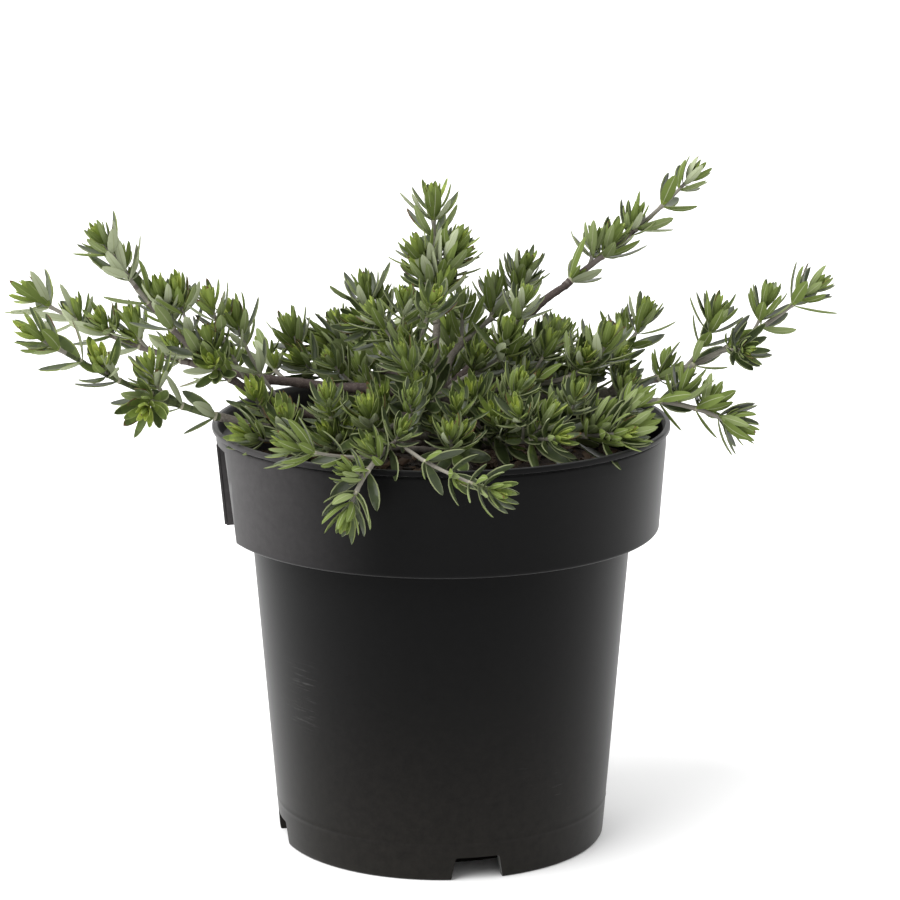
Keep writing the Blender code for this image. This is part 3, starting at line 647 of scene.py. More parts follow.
def pot_inside():
    """The pot's inner profile, from the axis at its floor up to the mouth."""
    ceiling = CHANNEL_HEIGHT + FLOOR
    ledge = COLLAR_FOOT + WALL
    return [(0.0, FLOOR), (PAD_RADIUS, FLOOR), (PAD_RADIUS + FLOOR, ceiling),
            (wall_radius(ceiling) - WALL, ceiling),
            (wall_radius(ledge) - WALL, ledge - INNER_CORNER),
            (wall_radius(ledge) - WALL + INNER_CORNER, ledge),
            (collar_inside(ledge) - INNER_CORNER, ledge),
            (collar_inside(ledge), ledge + INNER_CORNER), (collar_inside(145.0), 145.0),
            (collar_inside(PANEL_TOP - WALL), PANEL_TOP - WALL - 0.1),
            (collar_inside(PANEL_TOP - WALL), PANEL_TOP - WALL),
            (collar_inside(POT_HEIGHT) + 0.2, POT_HEIGHT - LIP_DEPTH),
            (collar_inside(POT_HEIGHT) + 0.9, POT_HEIGHT - 0.5),
            (collar_inside(POT_HEIGHT) + 1.3, POT_HEIGHT)]


def press_flat(piece, inset, outer):
    """Press the collar's left side flat, to the label panel's slanting plane."""
    for vertex in piece.data.vertices:
        x, y, z = (value / MM for value in vertex.co)
        limit = panel_x(z) + inset
        inside = math.hypot(x, y) < collar_inside(z) + WALL / 2
        top = PANEL_TOP - 0.4 if outer else PANEL_TOP - WALL - 0.05
        in_collar = COLLAR_FOOT - 0.3 < z < top
        if x < limit and in_collar and inside != outer:
            vertex.co.x = limit * MM


def score(piece, height, inset):
    """Cut new edges where the panel's plane crosses the collar."""
    pick(piece)
    bpy.ops.object.mode_set(mode="EDIT")
    bpy.ops.mesh.select_mode(type="FACE")
    bpy.ops.mesh.select_all(action="DESELECT")
    shape = bmesh.from_edit_mesh(piece.data)
    for face in shape.faces:
        centre = face.calc_center_median() / MM
        face.select_set(centre.x < -60.0 and COLLAR_FOOT - 1.0 < centre.z < PANEL_TOP)
    bmesh.update_edit_mesh(piece.data)
    slope = math.atan2(PANEL_FOOT_X - PANEL_TOP_X, PANEL_TOP - COLLAR_FOOT)
    bpy.ops.mesh.bisect(plane_co=((panel_x(height) + inset) * MM, 0.0, height * MM),
                        plane_no=(math.cos(slope), 0.0, math.sin(slope)))
    bpy.ops.object.mode_set(mode="OBJECT")


def cut_notches(pot):
    """Open the drain notches in the foot ring."""
    for number in range(NOTCH_COUNT):
        azimuth = math.radians(NOTCH_AZIMUTH + 360.0 / NOTCH_COUNT * number)
        radius = BODY_FOOT_RADIUS * MM
        clear_selection()
        bpy.ops.mesh.primitive_cube_add(size=2 * MM, location=(0.0, 0.0, 0.0))
        cutter = named("notch_cutter")
        bpy.ops.object.mode_set(mode="EDIT")
        bpy.ops.transform.resize(value=(NOTCH_DEPTH, NOTCH_FOOT_WIDTH / 2, NOTCH_HEIGHT))
        bpy.ops.mesh.select_all(action="DESELECT")
        shape = bmesh.from_edit_mesh(cutter.data)
        for vertex in shape.verts:
            vertex.select_set(vertex.co.z > 0)
        shape.select_flush(True)
        bpy.ops.transform.resize(value=(1.0, NOTCH_TOP_WIDTH / NOTCH_FOOT_WIDTH, 1.0))
        bpy.ops.mesh.bevel(offset=NOTCH_ROUND * MM, segments=3, affect="EDGES")
        bpy.ops.object.mode_set(mode="OBJECT")
        cutter.location = (radius * math.cos(azimuth), radius * math.sin(azimuth), 0.0)
        cutter.rotation_euler = (0.0, 0.0, azimuth)
        apply_modifier(pot, "BOOLEAN", operation="DIFFERENCE", solver="EXACT", object=cutter)
        bpy.data.objects.remove(cutter)


def rounded_block(name, size, place, lean, corners, bevel):
    """A leaning block with bevelled edges; corners is the radius of its two lower corners."""
    clear_selection()
    bpy.ops.mesh.primitive_cube_add(size=1.0, location=(0.0, 0.0, 0.0))
    block = named(name)
    bpy.ops.object.mode_set(mode="EDIT")
    bpy.ops.transform.resize(value=Vector(size) * MM)
    if corners:
        bpy.ops.mesh.select_all(action="DESELECT")
        shape = bmesh.from_edit_mesh(block.data)
        for edge in shape.edges:
            first, second = (vertex.co for vertex in edge.verts)
            edge.select_set(first.z < 0 and second.z < 0 and abs(first.x - second.x) > 0.5 * MM)
        bpy.ops.mesh.bevel(offset=corners * MM, segments=6, affect="EDGES")
    bpy.ops.object.mode_set(mode="OBJECT")
    apply_modifier(block, "BEVEL", width=bevel * MM, segments=2, limit_method="ANGLE")
    block.location = Vector(place) * MM
    block.rotation_euler = (0.0, -lean, 0.0)
    bpy.ops.object.transform_apply(location=True, rotation=True, scale=True)
    return block


def is_inside(face):
    """True for the faces of the pot's inner wall, which get a shaded copy of the plastic without
    its sheen: painted shade.
    """
    x, y, z = face.center / MM
    flat = x < panel_x(z) + WALL + 0.2 and abs(y) < GROOVE_RADIUS / 2
    inner = math.hypot(x, y) < collar_inside(z) + 0.2 or flat and face.normal.x > 0.5
    return SOIL - 8.0 < z < POT_HEIGHT - 0.6 and inner


def tag_holder():
    """The plate that stands off the label panel, and its two side webs."""
    lean = math.atan2(TAG_FOOT_X - TAG_TOP_X, TAG_TOP - TAG_FOOT)
    middle = (TAG_TOP + TAG_FOOT) / 2
    height = TAG_TOP - TAG_FOOT
    outer_x = (TAG_TOP_X + TAG_FOOT_X) / 2
    pieces = [rounded_block("tag_plate", (TAG_THICKNESS, TAG_WIDTH, height),
                            (outer_x + TAG_THICKNESS / 2, 0.0, middle), lean, TAG_ROUND, 0.3)]
    for side in (-1, 1):
        pieces.append(rounded_block(
            f"tag_web_{side + 2}", (TAG_REACH, TAG_THICKNESS, height),
            (outer_x + (TAG_THICKNESS + TAG_REACH) / 2, side * (TAG_WIDTH - TAG_THICKNESS) / 2,
             middle), lean, 0.0, 0.2))
    return pieces


class ROSEMARY_OT_pot(bpy.types.Operator):
    """Model the nursery pot with its lip, collar, label panel, tag holder and notches"""
    bl_idname = "rosemary.pot"
    bl_label = "Pot"
    bl_options = {"REGISTER", "UNDO"}

    def execute(self, context):
        settings = context.scene.rosemary_pot
        pot = lathe("nursery_pot", pot_inside() + pot_outside(), POT_SIDES)
        score(pot, PANEL_TOP, 0.0)
        score(pot, PANEL_TOP, WALL)
        press_flat(pot, 0.0, True)
        press_flat(pot, WALL, False)
        cut_notches(pot)
        holder = tag_holder()
        pick(pot)
        for piece in holder:
            piece.select_set(True)
        bpy.ops.object.join()
        pot.data.materials.clear()
        pot.data.materials.append(pot_plastic(settings, "pot_plastic", settings.sheen))
        # Painted shade: the inner wall gets a copy of the plastic without sheen, so it reads
        # darker
        pot.data.materials.append(pot_plastic(settings, "pot_plastic_inside", 0.0))
        for face in pot.data.polygons:
            face.material_index = int(is_inside(face))
        bpy.ops.object.shade_smooth_by_angle(angle=math.radians(32.0))
        settle(pot, "pot_black", "pot")
        return {"FINISHED"}


# Potting mix


class ROSEMARY_OT_mix(bpy.types.Operator):
    """Fill the pot with crumbly potting mix and strew bark over it"""
    bl_idname = "rosemary.mix"
    bl_label = "Potting mix"
    bl_options = {"REGISTER", "UNDO"}

    def execute(self, context):
        settings = context.scene.rosemary_mix
        edge = collar_inside(SOIL) - GAP
        ledge = COLLAR_FOOT + WALL + GAP
        foot = CHANNEL_HEIGHT + FLOOR + GAP
        profile = [(radius, mix_height(radius / edge) - MIX_SINK)
                   for radius in np.linspace(0.0, edge, MIX_RINGS)]
        profile += [(edge - 0.2, ledge), (wall_radius(ledge) - WALL - GAP, ledge),
                    (wall_radius(foot) - WALL - GAP, foot), (PAD_RADIUS + FLOOR - GAP, foot),
                    (PAD_RADIUS - GAP, FLOOR + GAP), (0.0, FLOOR + GAP)]
        mix = lathe("potting_mix_bed", profile, MIX_SIDES)
        crumble(mix)
        press_flat(mix, WALL + GAP, False)
        mix.data.materials.append(potting_look(settings))
        pick(mix)
        bpy.ops.object.shade_smooth()
        settle(mix, "potting_mix", "potting_mix")
        settle(bark_chips(settings, edge), "potting_mix")
        return {"FINISHED"}


def mix_height(share):
    """Level of the mix at a share of the way to the wall, where it lies lower."""
    return SOIL - MIX_DROP * share ** 4


def crumble(mix):
    """Raise and lower the top of the mix in lumps and crumbs."""
    top = mix.vertex_groups.new(name="top")
    raised = [vertex.index for vertex in mix.data.vertices if vertex.co.z > (SOIL - 4.0) * MM
              and math.hypot(vertex.co.x, vertex.co.y) < (collar_inside(SOIL) - 1.0) * MM]
    top.add(raised, 1.0, "REPLACE")
    for name, size, height in MIX_RELIEF:
        clouds = bpy.data.textures.new(name, "CLOUDS")
        clouds.noise_scale = size
        apply_modifier(mix, "DISPLACE", texture=clouds, strength=height, direction="Z",
                       mid_level=0.62, vertex_group="top")
        bpy.data.textures.remove(clouds)


def bark_chips(settings, edge):
    """Small flat pieces of bark, each a squashed block with jittered corners, joined into one
    mesh.
    """
    random = np.random.default_rng(7)
    corners = np.array([(x, y, z) for x in (-0.5, 0.0, 0.5) for y in (-0.5, 0.5)
                        for z in (-0.5, 0.5)])
    sides = [(0, 1, 3, 2), (8, 10, 11, 9)]
    for start in (0, 4):
        sides += [(start, start + 4, start + 5, start + 1),
                  (start + 2, start + 3, start + 7, start + 6),
                  (start, start + 2, start + 6, start + 4),
                  (start + 1, start + 5, start + 7, start + 3)]
    points, faces, slots = [], [], []
    while len(slots) < settings.chips * len(sides):
        reach, azimuth = edge * math.sqrt(random.uniform(0.0, 0.95)), random.uniform(0.0, 360.0)
        spot = heading(azimuth, 0.0) * reach
        size = settings.chip_size / MM * random.uniform(0.4, 1.7)
        if spot[0] < panel_x(SOIL) + WALL + size:
            continue
        spot[2] = mix_height(reach / edge) + random.uniform(-2.0, -0.6)
        turn = turned_axes(random.uniform(0.0, 360.0), random.uniform(-28.0, 28.0),
                           random.uniform(-28.0, 28.0))
        shape = corners * (size, size * random.uniform(0.3, 0.7), size * random.uniform(0.12, 0.3))
        shape += random.uniform(-0.09, 0.09, shape.shape) * size
        faces += [[len(points) + corner for corner in side] for side in sides]
        points += list(shape @ turn + spot)
        slots += [int(random.integers(0, 3))] * len(sides)
    looks = [Look(f"bark_chip_{tone}", colour, 0.85, Specular_IOR_Level=0.25).material
             for tone, colour in CHIP_TONES]
    return array_mesh("bark_chips", np.array(points), faces, slots, looks, False)


def turned_axes(yaw, pitch, roll):
    """Rows that turn a point by three angles in degrees."""
    a, b, c = (math.radians(angle) for angle in (yaw, pitch, roll))
    about_z = np.array([[math.cos(a), math.sin(a), 0], [-math.sin(a), math.cos(a), 0], [0, 0, 1]])
    about_y = np.array([[math.cos(b), 0, -math.sin(b)], [0, 1, 0], [math.sin(b), 0, math.cos(b)]])
    about_x = np.array([[1, 0, 0], [0, math.cos(c), math.sin(c)], [0, -math.sin(c), math.cos(c)]])
    return about_x @ about_y @ about_z


def array_mesh(name, points, faces, slots, looks, smooth=True):
    """A mesh object from arrays of points in millimetres, faces and material slots."""
    mesh = bpy.data.meshes.new(name)
    mesh.from_pydata(points * MM, [], faces)
    for look in looks:
        mesh.materials.append(look)
    mesh.polygons.foreach_set("material_index", np.asarray(slots, dtype=np.int32))
    mesh.polygons.foreach_set("use_smooth", np.full(len(faces), smooth))
    mesh.update()
    piece = bpy.data.objects.new(name, mesh)
    bpy.context.scene.collection.objects.link(piece)
    return piece


# Rule of growth


UP = np.array([0.0, 0.0, 1.0])


def heading(azimuth, elevation):
    a, e = math.radians(azimuth), math.radians(elevation)
    return np.array([math.cos(a) * math.cos(e), math.sin(a) * math.cos(e), math.sin(e)])


def unit(vector):
    return vector / np.linalg.norm(vector)


def trunk_centre(rise):
    """Centre of the trunk at a height above the soil; its foot stands upright."""
    share = max(rise - TRUNK_RADII[1][0], 0.0) / (TRUNK_HEIGHT - TRUNK_RADII[1][0])
    foot, head = np.array(TRUNK_FOOT), np.array(TRUNK_HEAD)
    x, y = foot + (head - foot) * share ** 1.2
    return np.array([x, y, SOIL + GAP + rise])


def trunk_radius(rise):
    heights, radii = zip(*TRUNK_RADII)
    return float(np.interp(rise, heights, radii))


def trunk_seat(core, way, radius):
    """Where a stem that heads out from the trunk's core starts, its cut end just off the skin."""
    side = unit(np.cross(way, (0.0, 0.0, 1.0)))
    turns = np.linspace(0.0, math.tau, SEAT_POINTS, endpoint=False)[:, None]
    rim = radius * (side * np.cos(turns) + np.cross(side, way) * np.sin(turns))
    middle = core
    while min(off_trunk(point) for point in middle + rim) < GAP:
        middle = middle + way * SEAT_STEP
    return middle


def off_trunk(point):
    """Level distance of a point from the trunk's skin, negative inside it."""
    rise = point[2] - SOIL - GAP
    centre = trunk_centre(min(rise, TRUNK_HEIGHT))
    return math.hypot(*(point - centre)[:2]) - trunk_radius(rise)


def bezier(corners, steps):
    """Points along a quadratic or cubic curve."""
    t = np.linspace(0.0, 1.0, steps + 1)[:, None]
    order = len(corners) - 1
    return sum(math.comb(order, i) * (1 - t) ** (order - i) * t ** i * corner
               for i, corner in enumerate(corners))


def stem_path(azimuth, reach, top, rise, leave, arrive, bend):
    """A stem's axis, from the trunk's skin to its tip, and its radii."""
    tip = np.array([*TRUNK_HEAD, 0.0]) + heading(azimuth, 0) * reach
    tip[2] = top
    core = trunk_centre(rise)
    way = math.degrees(math.atan2(tip[1] - core[1], tip[0] - core[0]))
    first = heading(way + bend, leave)
    last = heading(way - bend, arrive)
    root = 1.2 + 0.0065 * np.linalg.norm(tip - core)
    if leave > STEEP:
        start = core + np.array([0.0, 0.0, GAP])
        first = np.array([0.0, 0.0, 1.0])
    else:
        start = trunk_seat(core, first, root)
    size = np.linalg.norm(tip - start)
    path = bezier((start, start + first * size * 0.42, tip - last * size * 0.36, tip), STEM_STEPS)
    return path, np.linspace(root, TWIG_TIP, len(path))


def shoot_path(path, radii, azimuth, place, length, lean):
    """A side shoot that leaves its stem and turns upward, or over to one side."""
    index = int(round(place * (len(path) - 1)))
    start = path[index]
    along = unit(path[index + 1] - path[index - 1])
    side = np.array([-math.sin(math.radians(azimuth)), math.cos(math.radians(azimuth)), 0.0])
    tilt = math.radians(lean)
    end = unit(UP * math.cos(tilt) + side * math.sin(tilt) + along * 0.4)
    elbow = start + unit(along + end) * length * 0.45
    points = bezier((start, elbow, elbow + end * length * 0.6), SHOOT_STEPS)
    return points, np.linspace(min(radii[index] * 0.75, 1.1), TWIG_TIP * 0.8, len(points))


def clear_of_pot(points, room=1.0):
    """True where points keep off the pot's wall and the potting mix."""
    reach = np.hypot(points[:, 0], points[:, 1])
    height = points[:, 2]
    inside = (reach < collar_inside(SOIL) - room) & (height > SOIL + room)
    inside &= points[:, 0] > panel_x(SOIL) + WALL + room
    outside = reach > LIP_RADIUS + room
    return bool(np.all(inside | outside | (height > POT_HEIGHT + room)))


def in_reach(points):
    """True where points stay within the reach of the plant's solids."""
    return bool(np.all(points * MM > CAD_LOW) and np.all(points * MM < CAD_HIGH))


class Spray:
    """One stem with its bare bough and, beyond it, its leafy twigs."""

    def __init__(self, number, values):
        self.name, self.azimuth, self.reach = values[:3]
        self.path, self.radii = stem_path(*values[1:8])
        self.cut = int(round(values[8] * STEM_STEPS))
        self.inner = self.reach < INNER_REACH
        self.grey = self.name not in DARK_STEMS
        self.random = np.random.default_rng(SPRAY_SEED + number)
        # The spray's tone offset paints light on the left and top sprays and shade on the right
        # ones
        self.tone = TONES.get(self.name, 0.0) + self.random.uniform(-0.06, 0.06)
        self.twigs = [(self.path[max(self.cut - 1, 0):], self.radii[max(self.cut - 1, 0):])]
        for shoot in (*values[9], *FINER.get(self.name, ())):
            points, radii = shoot_path(self.path, self.radii, self.azimuth, *shoot)
            if clear_of_pot(points):
                self.twigs.append((points, radii))
        self.drawn = len(self.twigs) - 1

    def region(self):
        """The side of the plant that the spray belongs to."""
        if self.reach < MIDDLE_REACH:
            return "middle"
        return ("right", "back", "left", "front")[int(((self.azimuth + 45) % 360) // 90)]


def in_crown(point):
    """True where a shoot's tip stays in the dense middle of the plant."""
    aside = math.hypot(point[0] - CROWN_MIDDLE[0], point[1] - CROWN_MIDDLE[1])
    distances, heights = zip(*CROWN)
    return aside < distances[-1] and point[2] < np.interp(aside, distances, heights)


def more_shoots(sprays, spacing):
    """Fill each spray with finer side shoots, as long as their rosettes have room."""
    tips = [twig[0][-1] for spray in sprays for twig in spray.twigs]
    for spray in sprays:
        random = spray.random
        first = max(spray.cut / STEM_STEPS - BELOW_LEAVES, FIRST_PLACE)
        for place in np.arange(first, LAST_PLACE, PLACE_STEP):
            bare = place < spray.cut / STEM_STEPS
            if bare and not spray.grey:
                continue
            if not spray.inner and not bare and random.random() < OUTER_EMPTY:
                continue
            for _ in range(PLACE_TRIES):
                dense = spray.inner or bare
                length = random.uniform(*(DENSE_LENGTHS if dense else OUTER_LENGTHS))
                lean = random.uniform(-SHOOT_LEAN, SHOOT_LEAN)
                spot = place + random.uniform(-PLACE_PLAY, PLACE_PLAY)
                points, radii = shoot_path(spray.path, spray.radii, spray.azimuth, spot, length,
                                           lean)
                tip = points[-1]
                apart = min(np.linalg.norm(tip - other) for other in tips)
                ahead = tip + unit(tip - points[-2]) * ROSETTE_ROOM
                if (apart > spacing and clear_of_pot(points, SHOOT_ROOM)
                        and (not dense or in_crown(tip))
                        and in_reach(np.array([ahead, tip]))):
                    spray.twigs.append((points, radii))
                    tips.append(tip)
                    break


def whorl_places(spray, order, length, internode):
    """Distances along a twig where its leaves stand, closer together towards its tip.

    A side shoot of a long spray is bare at its root, and so is a stem that has no bough.
    """
    if order > 0 and not spray.inner:
        place = length * BARE_SHOOT
    else:
        place = length * BARE_ROOT if order == 0 and not spray.cut else FIRST_WHORL
    if order == 0:
        internode *= CLOSE_WHORLS.get(spray.name, 1.0)
    places = []
    while place < length - LAST_WHORL:
        places.append(place)
        left = min((length - place) / TIP_LENGTH, 1.0)
        place += internode * (0.45 + 0.55 * left) * spray.random.uniform(0.85, 1.2)
    return places


def along_twig(path):
    """Distance of each point of a path from its start."""
    return np.concatenate(([0.0], np.cumsum(np.linalg.norm(np.diff(path, axis=0), axis=1))))


class Leaves:
    """The leaves of one piece, gathered one by one and then shaped all together."""

    def __init__(self, settings):
        self.settings = settings
        self.rows = []
        self.tones = []

    def whorl(self, random, root, along, turn, tier, tone, size=1.0):
        """Set one tier of leaves round a stem."""
        count, spread, length, width, curl, _, age = tier
        side = unit(np.cross(along, (0.3, 0.9, 0.1)))
        other = np.cross(along, side)
        for number in range(count):
            angle = math.radians(turn + 360.0 / count * number + random.uniform(-13.0, 13.0))
            out = side * math.cos(angle) + other * math.sin(angle)
            long = length * size * random.uniform(0.82, 1.12)
            wide = width * size * random.uniform(0.86, 1.12)
            bend = math.radians(curl + random.uniform(-12.0, 12.0))
            raised = random.uniform(-8.0, 8.0)
            twist = random.uniform(-0.25, 0.25)
            for share in (1.0, 0.72, 0.45):
                tilt = math.radians(spread * share + raised)
                way = along * math.cos(tilt) + out * math.sin(tilt)
                upper = along * math.sin(tilt) - out * math.cos(tilt)
                upper = upper + np.cross(way, upper) * twist + UP * LEAF_LIFT
                upper = unit(upper - way * np.dot(upper, way))
                half = root + way * long * 0.5
                turned = way * math.cos(bend * 0.75) + upper * math.sin(bend * 0.75)
                tip = half + turned * long * 0.5
                ends = np.array([half, tip])
                if clear_of_pot(ends, 0.8) and in_reach(ends):
                    self.rows.append((*root, *way, *upper, long, wide, bend,
                                      random.uniform(0.06, 0.32), random.uniform(0.0, 0.6)))
                    chance = random.random()
                    # The spray's tone pales or darkens each leaf and its underside: painted light
                    # and shade
                    self.tones.append((age + tone + random.uniform(-0.10, 0.10), chance,
                                       chance * 7.0 % 1.0 - 2.0 * tone))
                    break

    def rosette(self, random, path, tiers, tone, size):
        """The tuft of leaves at the end of a twig."""
        axis = unit(path[-1] - path[-2])
        turn = random.uniform(0.0, 360.0)
        for tier in tiers:
            turn += 45.0
            self.whorl(random, path[-1] - axis * tier[5] * size, axis, turn, tier, tone, size)


# Leaf blades

# Along a leaf: the place of each row of points, and the part of the leaf's width there on a
# pointed leaf and on a blunt one
BLADE = ((0.05, 0.17, 0.24), (0.18, 0.55, 0.68), (0.37, 0.92, 0.97), (0.57, 1.0, 1.0),
         (0.77, 0.78, 0.90), (0.92, 0.40, 0.58))
# Across a leaf: each point's place, and its height over the leaf's half width
SECTION = ((-1.0, -0.14), (-0.82, 0.02), (0.0, -0.05), (0.82, 0.02), (1.0, -0.14),
           (0.07, 0.0), (-0.07, 0.0))
RING = len(SECTION)
UPPER_TONES = (
    (0.355, 0.425, 0.070), (0.240, 0.312, 0.050), (0.148, 0.202, 0.038), (0.096, 0.134, 0.030),
    (0.064, 0.090, 0.024), (0.044, 0.063, 0.019), (0.033, 0.047, 0.016),
)
UNDER_TONES = ((0.190, 0.250, 0.050), (0.128, 0.172, 0.042), (0.190, 0.236, 0.092),
               (0.360, 0.400, 0.255))
RIB_TONES = ((0.200, 0.245, 0.080), (0.290, 0.322, 0.180))
MARGIN_TONES = ((0.310, 0.360, 0.090), (0.200, 0.240, 0.080), (0.190, 0.214, 0.110))
PETIOLE_TONE = (0.289, 0.293, 0.160)
RED_TONE = (0.103, 0.065, 0.030)

# Where each group of leaf colours starts in a leaf piece's slots
UNDER_FIRST = len(UPPER_TONES)
RIB_FIRST = UNDER_FIRST + len(UNDER_TONES)
MARGIN_FIRST = RIB_FIRST + len(RIB_TONES)
PETIOLE = MARGIN_FIRST + len(MARGIN_TONES)
RED_TIP = PETIOLE + 1


def leaf_looks():
    """Plain leaf colours: glossy upper sides from young to old, felted undersides and edges."""
    looks = [Look(f"leaf_upper_{n}", tone, 0.38, Specular_IOR_Level=0.45).material
             for n, tone in enumerate(UPPER_TONES)]
    for part, tones in (("under", UNDER_TONES), ("rib", RIB_TONES), ("margin", MARGIN_TONES),
                        ("petiole", (PETIOLE_TONE,)), ("red_tip", (RED_TONE,))):
        looks += [Look(f"leaf_{part}_{n}", tone, 0.75, Specular_IOR_Level=0.12).material
                  for n, tone in enumerate(tones)]
    return looks


def blade_faces():
    """The faces of one leaf: a fan at its root, rings of quads and a fan at its tip."""
    faces, places = [], []
    tip = 1 + RING * len(BLADE)
    for row in range(len(BLADE) + 1):
        for side in range(RING):
            after = (side + 1) % RING
            low, low_after = 1 + RING * (row - 1) + side, 1 + RING * (row - 1) + after
            if row == 0:
                faces.append((0, 1 + side, 1 + after))
            elif row == len(BLADE):
                faces.append((low, tip, low_after))
            else:
                faces.append((low, low + RING, low_after + RING, low_after))
            places.append((row, side))
    return faces, places


def blade_points(rows, thickness):
    """The points of all leaves: curled along their length, folded along the middle."""
    rows = np.array(rows)
    root, way, upper = rows[:, 0:3], rows[:, 3:6], rows[:, 6:9]
    length, width, curl, fold, blunt = rows[:, 9:].T
    across = np.cross(upper, way)
    curl = np.where(np.abs(curl) < 0.01, 0.01, curl)
    points = [(root - way * 0.3)[:, None]]

    def spine(t):
        ahead = np.sin(curl * t) / curl * length
        up = (1.0 - np.cos(curl * t)) / curl * length
        middle = root + way * ahead[:, None] + upper * up[:, None]
        normal = upper * np.cos(curl * t)[:, None] - way * np.sin(curl * t)[:, None]
        return middle, normal

    for t, pointed_share, blunt_share in BLADE:
        middle, normal = spine(t)
        share = pointed_share + (blunt_share - pointed_share) * blunt
        half = width * share / 2
        for number, (side, height) in enumerate(SECTION):
            lift = half * (abs(side) * fold + height)
            if number > 4:
                lift = lift - thickness * (0.5 + 0.5 * share)
            elif number in (0, 4):
                lift = lift - thickness * 0.3
            point = middle + across * (half * side)[:, None] + normal * lift[:, None]
            points.append(point[:, None])
    points.append(spine(1.0)[0][:, None])
    return np.concatenate(points, axis=1)


def blade_slots(tones, places):
    """Deal the leaf colours out by age; each leaf is a step younger at its root."""
    slots = np.zeros((len(tones), len(places)), dtype=np.int32)
    last = len(UPPER_TONES) - 1
    for index, (age, chance, pale) in enumerate(tones):
        upper = int(min(max(age, 0.0), 0.999) * (last + 1))
        if age < 0.25:
            under = 0
        else:
            # Age and pale both carry the spray's painted light and shade from its tone
            under = 1 if age < 0.55 or pale < 0.3 else 2 if pale < 0.7 else 3
        margin = MARGIN_FIRST + (0 if age < 0.25 else 1 if age < 0.65 else 2)
        for face, (row, side) in enumerate(places):
            tip = row >= len(BLADE) - 1
            if side in (0, 3):
                slot = RED_TIP if row > 3 and 0.3 < age < 0.7 and chance > 0.8 else margin
            elif side in (1, 2):
                slot = min(upper + tip, last) if row > 2 else max(upper - 1, 0)
                if age > 0.7 and row == 0:
                    slot = PETIOLE
            elif side == 5:
                slot = RIB_FIRST + (age >= 0.5)
            else:
                slot = UNDER_FIRST + (max(under - 1, 0) if row < 2 and under < 3 else under)
            if row == len(BLADE) and chance > 0.9 and age < 0.6:
                slot = RED_TIP
            slots[index, face] = slot
    return slots


def leaf_piece(name, leaves, looks):
    """Shape the gathered leaves and join them into one object."""
    faces, places = blade_faces()
    points = blade_points(leaves.rows, leaves.settings.leaf_thickness / MM)
    count, size = points.shape[:2]
    slots = blade_slots(leaves.tones, places)
    all_faces = []
    for start in range(0, count * size, size):
        all_faces += [[start + corner for corner in face] for face in faces]
    piece = array_mesh(name, points.reshape(-1, 3), all_faces, slots.reshape(-1), looks)
    piece.data.set_sharp_from_angle(angle=math.radians(62.0))
    return piece


class ROSEMARY_OT_leaves(bpy.types.Operator):
    """Set whorls of leaves along the twigs and a rosette on each tip"""
    bl_idname = "rosemary.leaves"
    bl_label = "Leaves"
    bl_options = {"REGISTER", "UNDO"}

    def execute(self, context):
        settings = context.scene.rosemary_plant
        looks = leaf_looks()
        regions = {}
        for spray in grown_sprays(settings):
            regions.setdefault(spray.region(), []).append(spray)
        for region, sprays in regions.items():
            leaves = Leaves(settings)
            for spray in sprays:
                clothe(spray, leaves, settings)
            piece = leaf_piece(f"leaves_{region}", leaves, looks)
            settle(piece, "foliage", *(f"foliage_{spray.name}" for spray in sprays))
        return {"FINISHED"}


def clothe(spray, leaves, settings):
    """Leaves for one spray: whorls along each twig, small tufts in their axils, rosettes."""
    random = spray.random
    for order, (path, _) in enumerate(spray.twigs):
        distance = along_twig(path)
        turn = random.uniform(0.0, 360.0)
        for place in spray.whorls[order]:
            root = np.array([np.interp(place, distance, path[:, k]) for k in range(3)])
            index = min(int(np.searchsorted(distance, place)), len(path) - 1)
            along = unit(path[index] - path[index - 1])
            left = min((distance[-1] - place) / TIP_LENGTH, 1.0)
            grown = 1.0 if order == 0 else SHOOT_LEAVES
            tier = (int(random.integers(3, 5)), 62 - 10 * left,
                    settings.leaf_length / MM * grown, settings.leaf_width / MM * grown,
                    26, 0.0, 0.66 + 0.26 * left)
            leaves.whorl(random, root, along, turn, tier, spray.tone)
            if random.random() < TUFT_CHANCE:
                out = unit(np.cross(along, (0.3, 0.9, 0.1)))
                bud = unit(along + out * random.uniform(-1.0, 1.0) + UP * 0.6)
                stub = np.array([root, root + bud * 2.2])
                leaves.rosette(random, stub, TUFT, spray.tone, random.uniform(0.7, 1.3))
            turn += 45.0
        grown = DRAWN_ROSETTE if order <= spray.drawn else 1.0
        leaves.rosette(random, path, ROSETTE, spray.tone, random.uniform(0.88, 1.08) * grown)


# Trunk, boughs and twigs


def grown_sprays(settings):
    """All sprays with their finer shoots; the same ones each time."""
    sprays = [Spray(number, values) for number, values in enumerate(SPRAYS)]
    more_shoots(sprays, settings.shoot_spacing / MM)
    for spray in sprays:
        spray.whorls = [whorl_places(spray, order, along_twig(path)[-1], settings.internode / MM)
                        for order, (path, _) in enumerate(spray.twigs)]
    return sprays


def resampled(path, radii, spacing):
    """The path again, smooth and with evenly spaced points."""
    distance = along_twig(path)
    places = np.linspace(0.0, distance[-1], max(int(distance[-1] / spacing), 3) + 1)
    points = np.stack([np.interp(places, distance, path[:, k]) for k in range(3)], axis=1)
    return points, np.interp(places, distance, radii), places


def knots(places, scars):
    """Which parts of a stem are swollen where its leaves stand or stood."""
    away = np.min(np.abs(places[:, None] - np.array([*scars, -9.0])), axis=1)
    return np.exp(-(away / 0.9) ** 2)


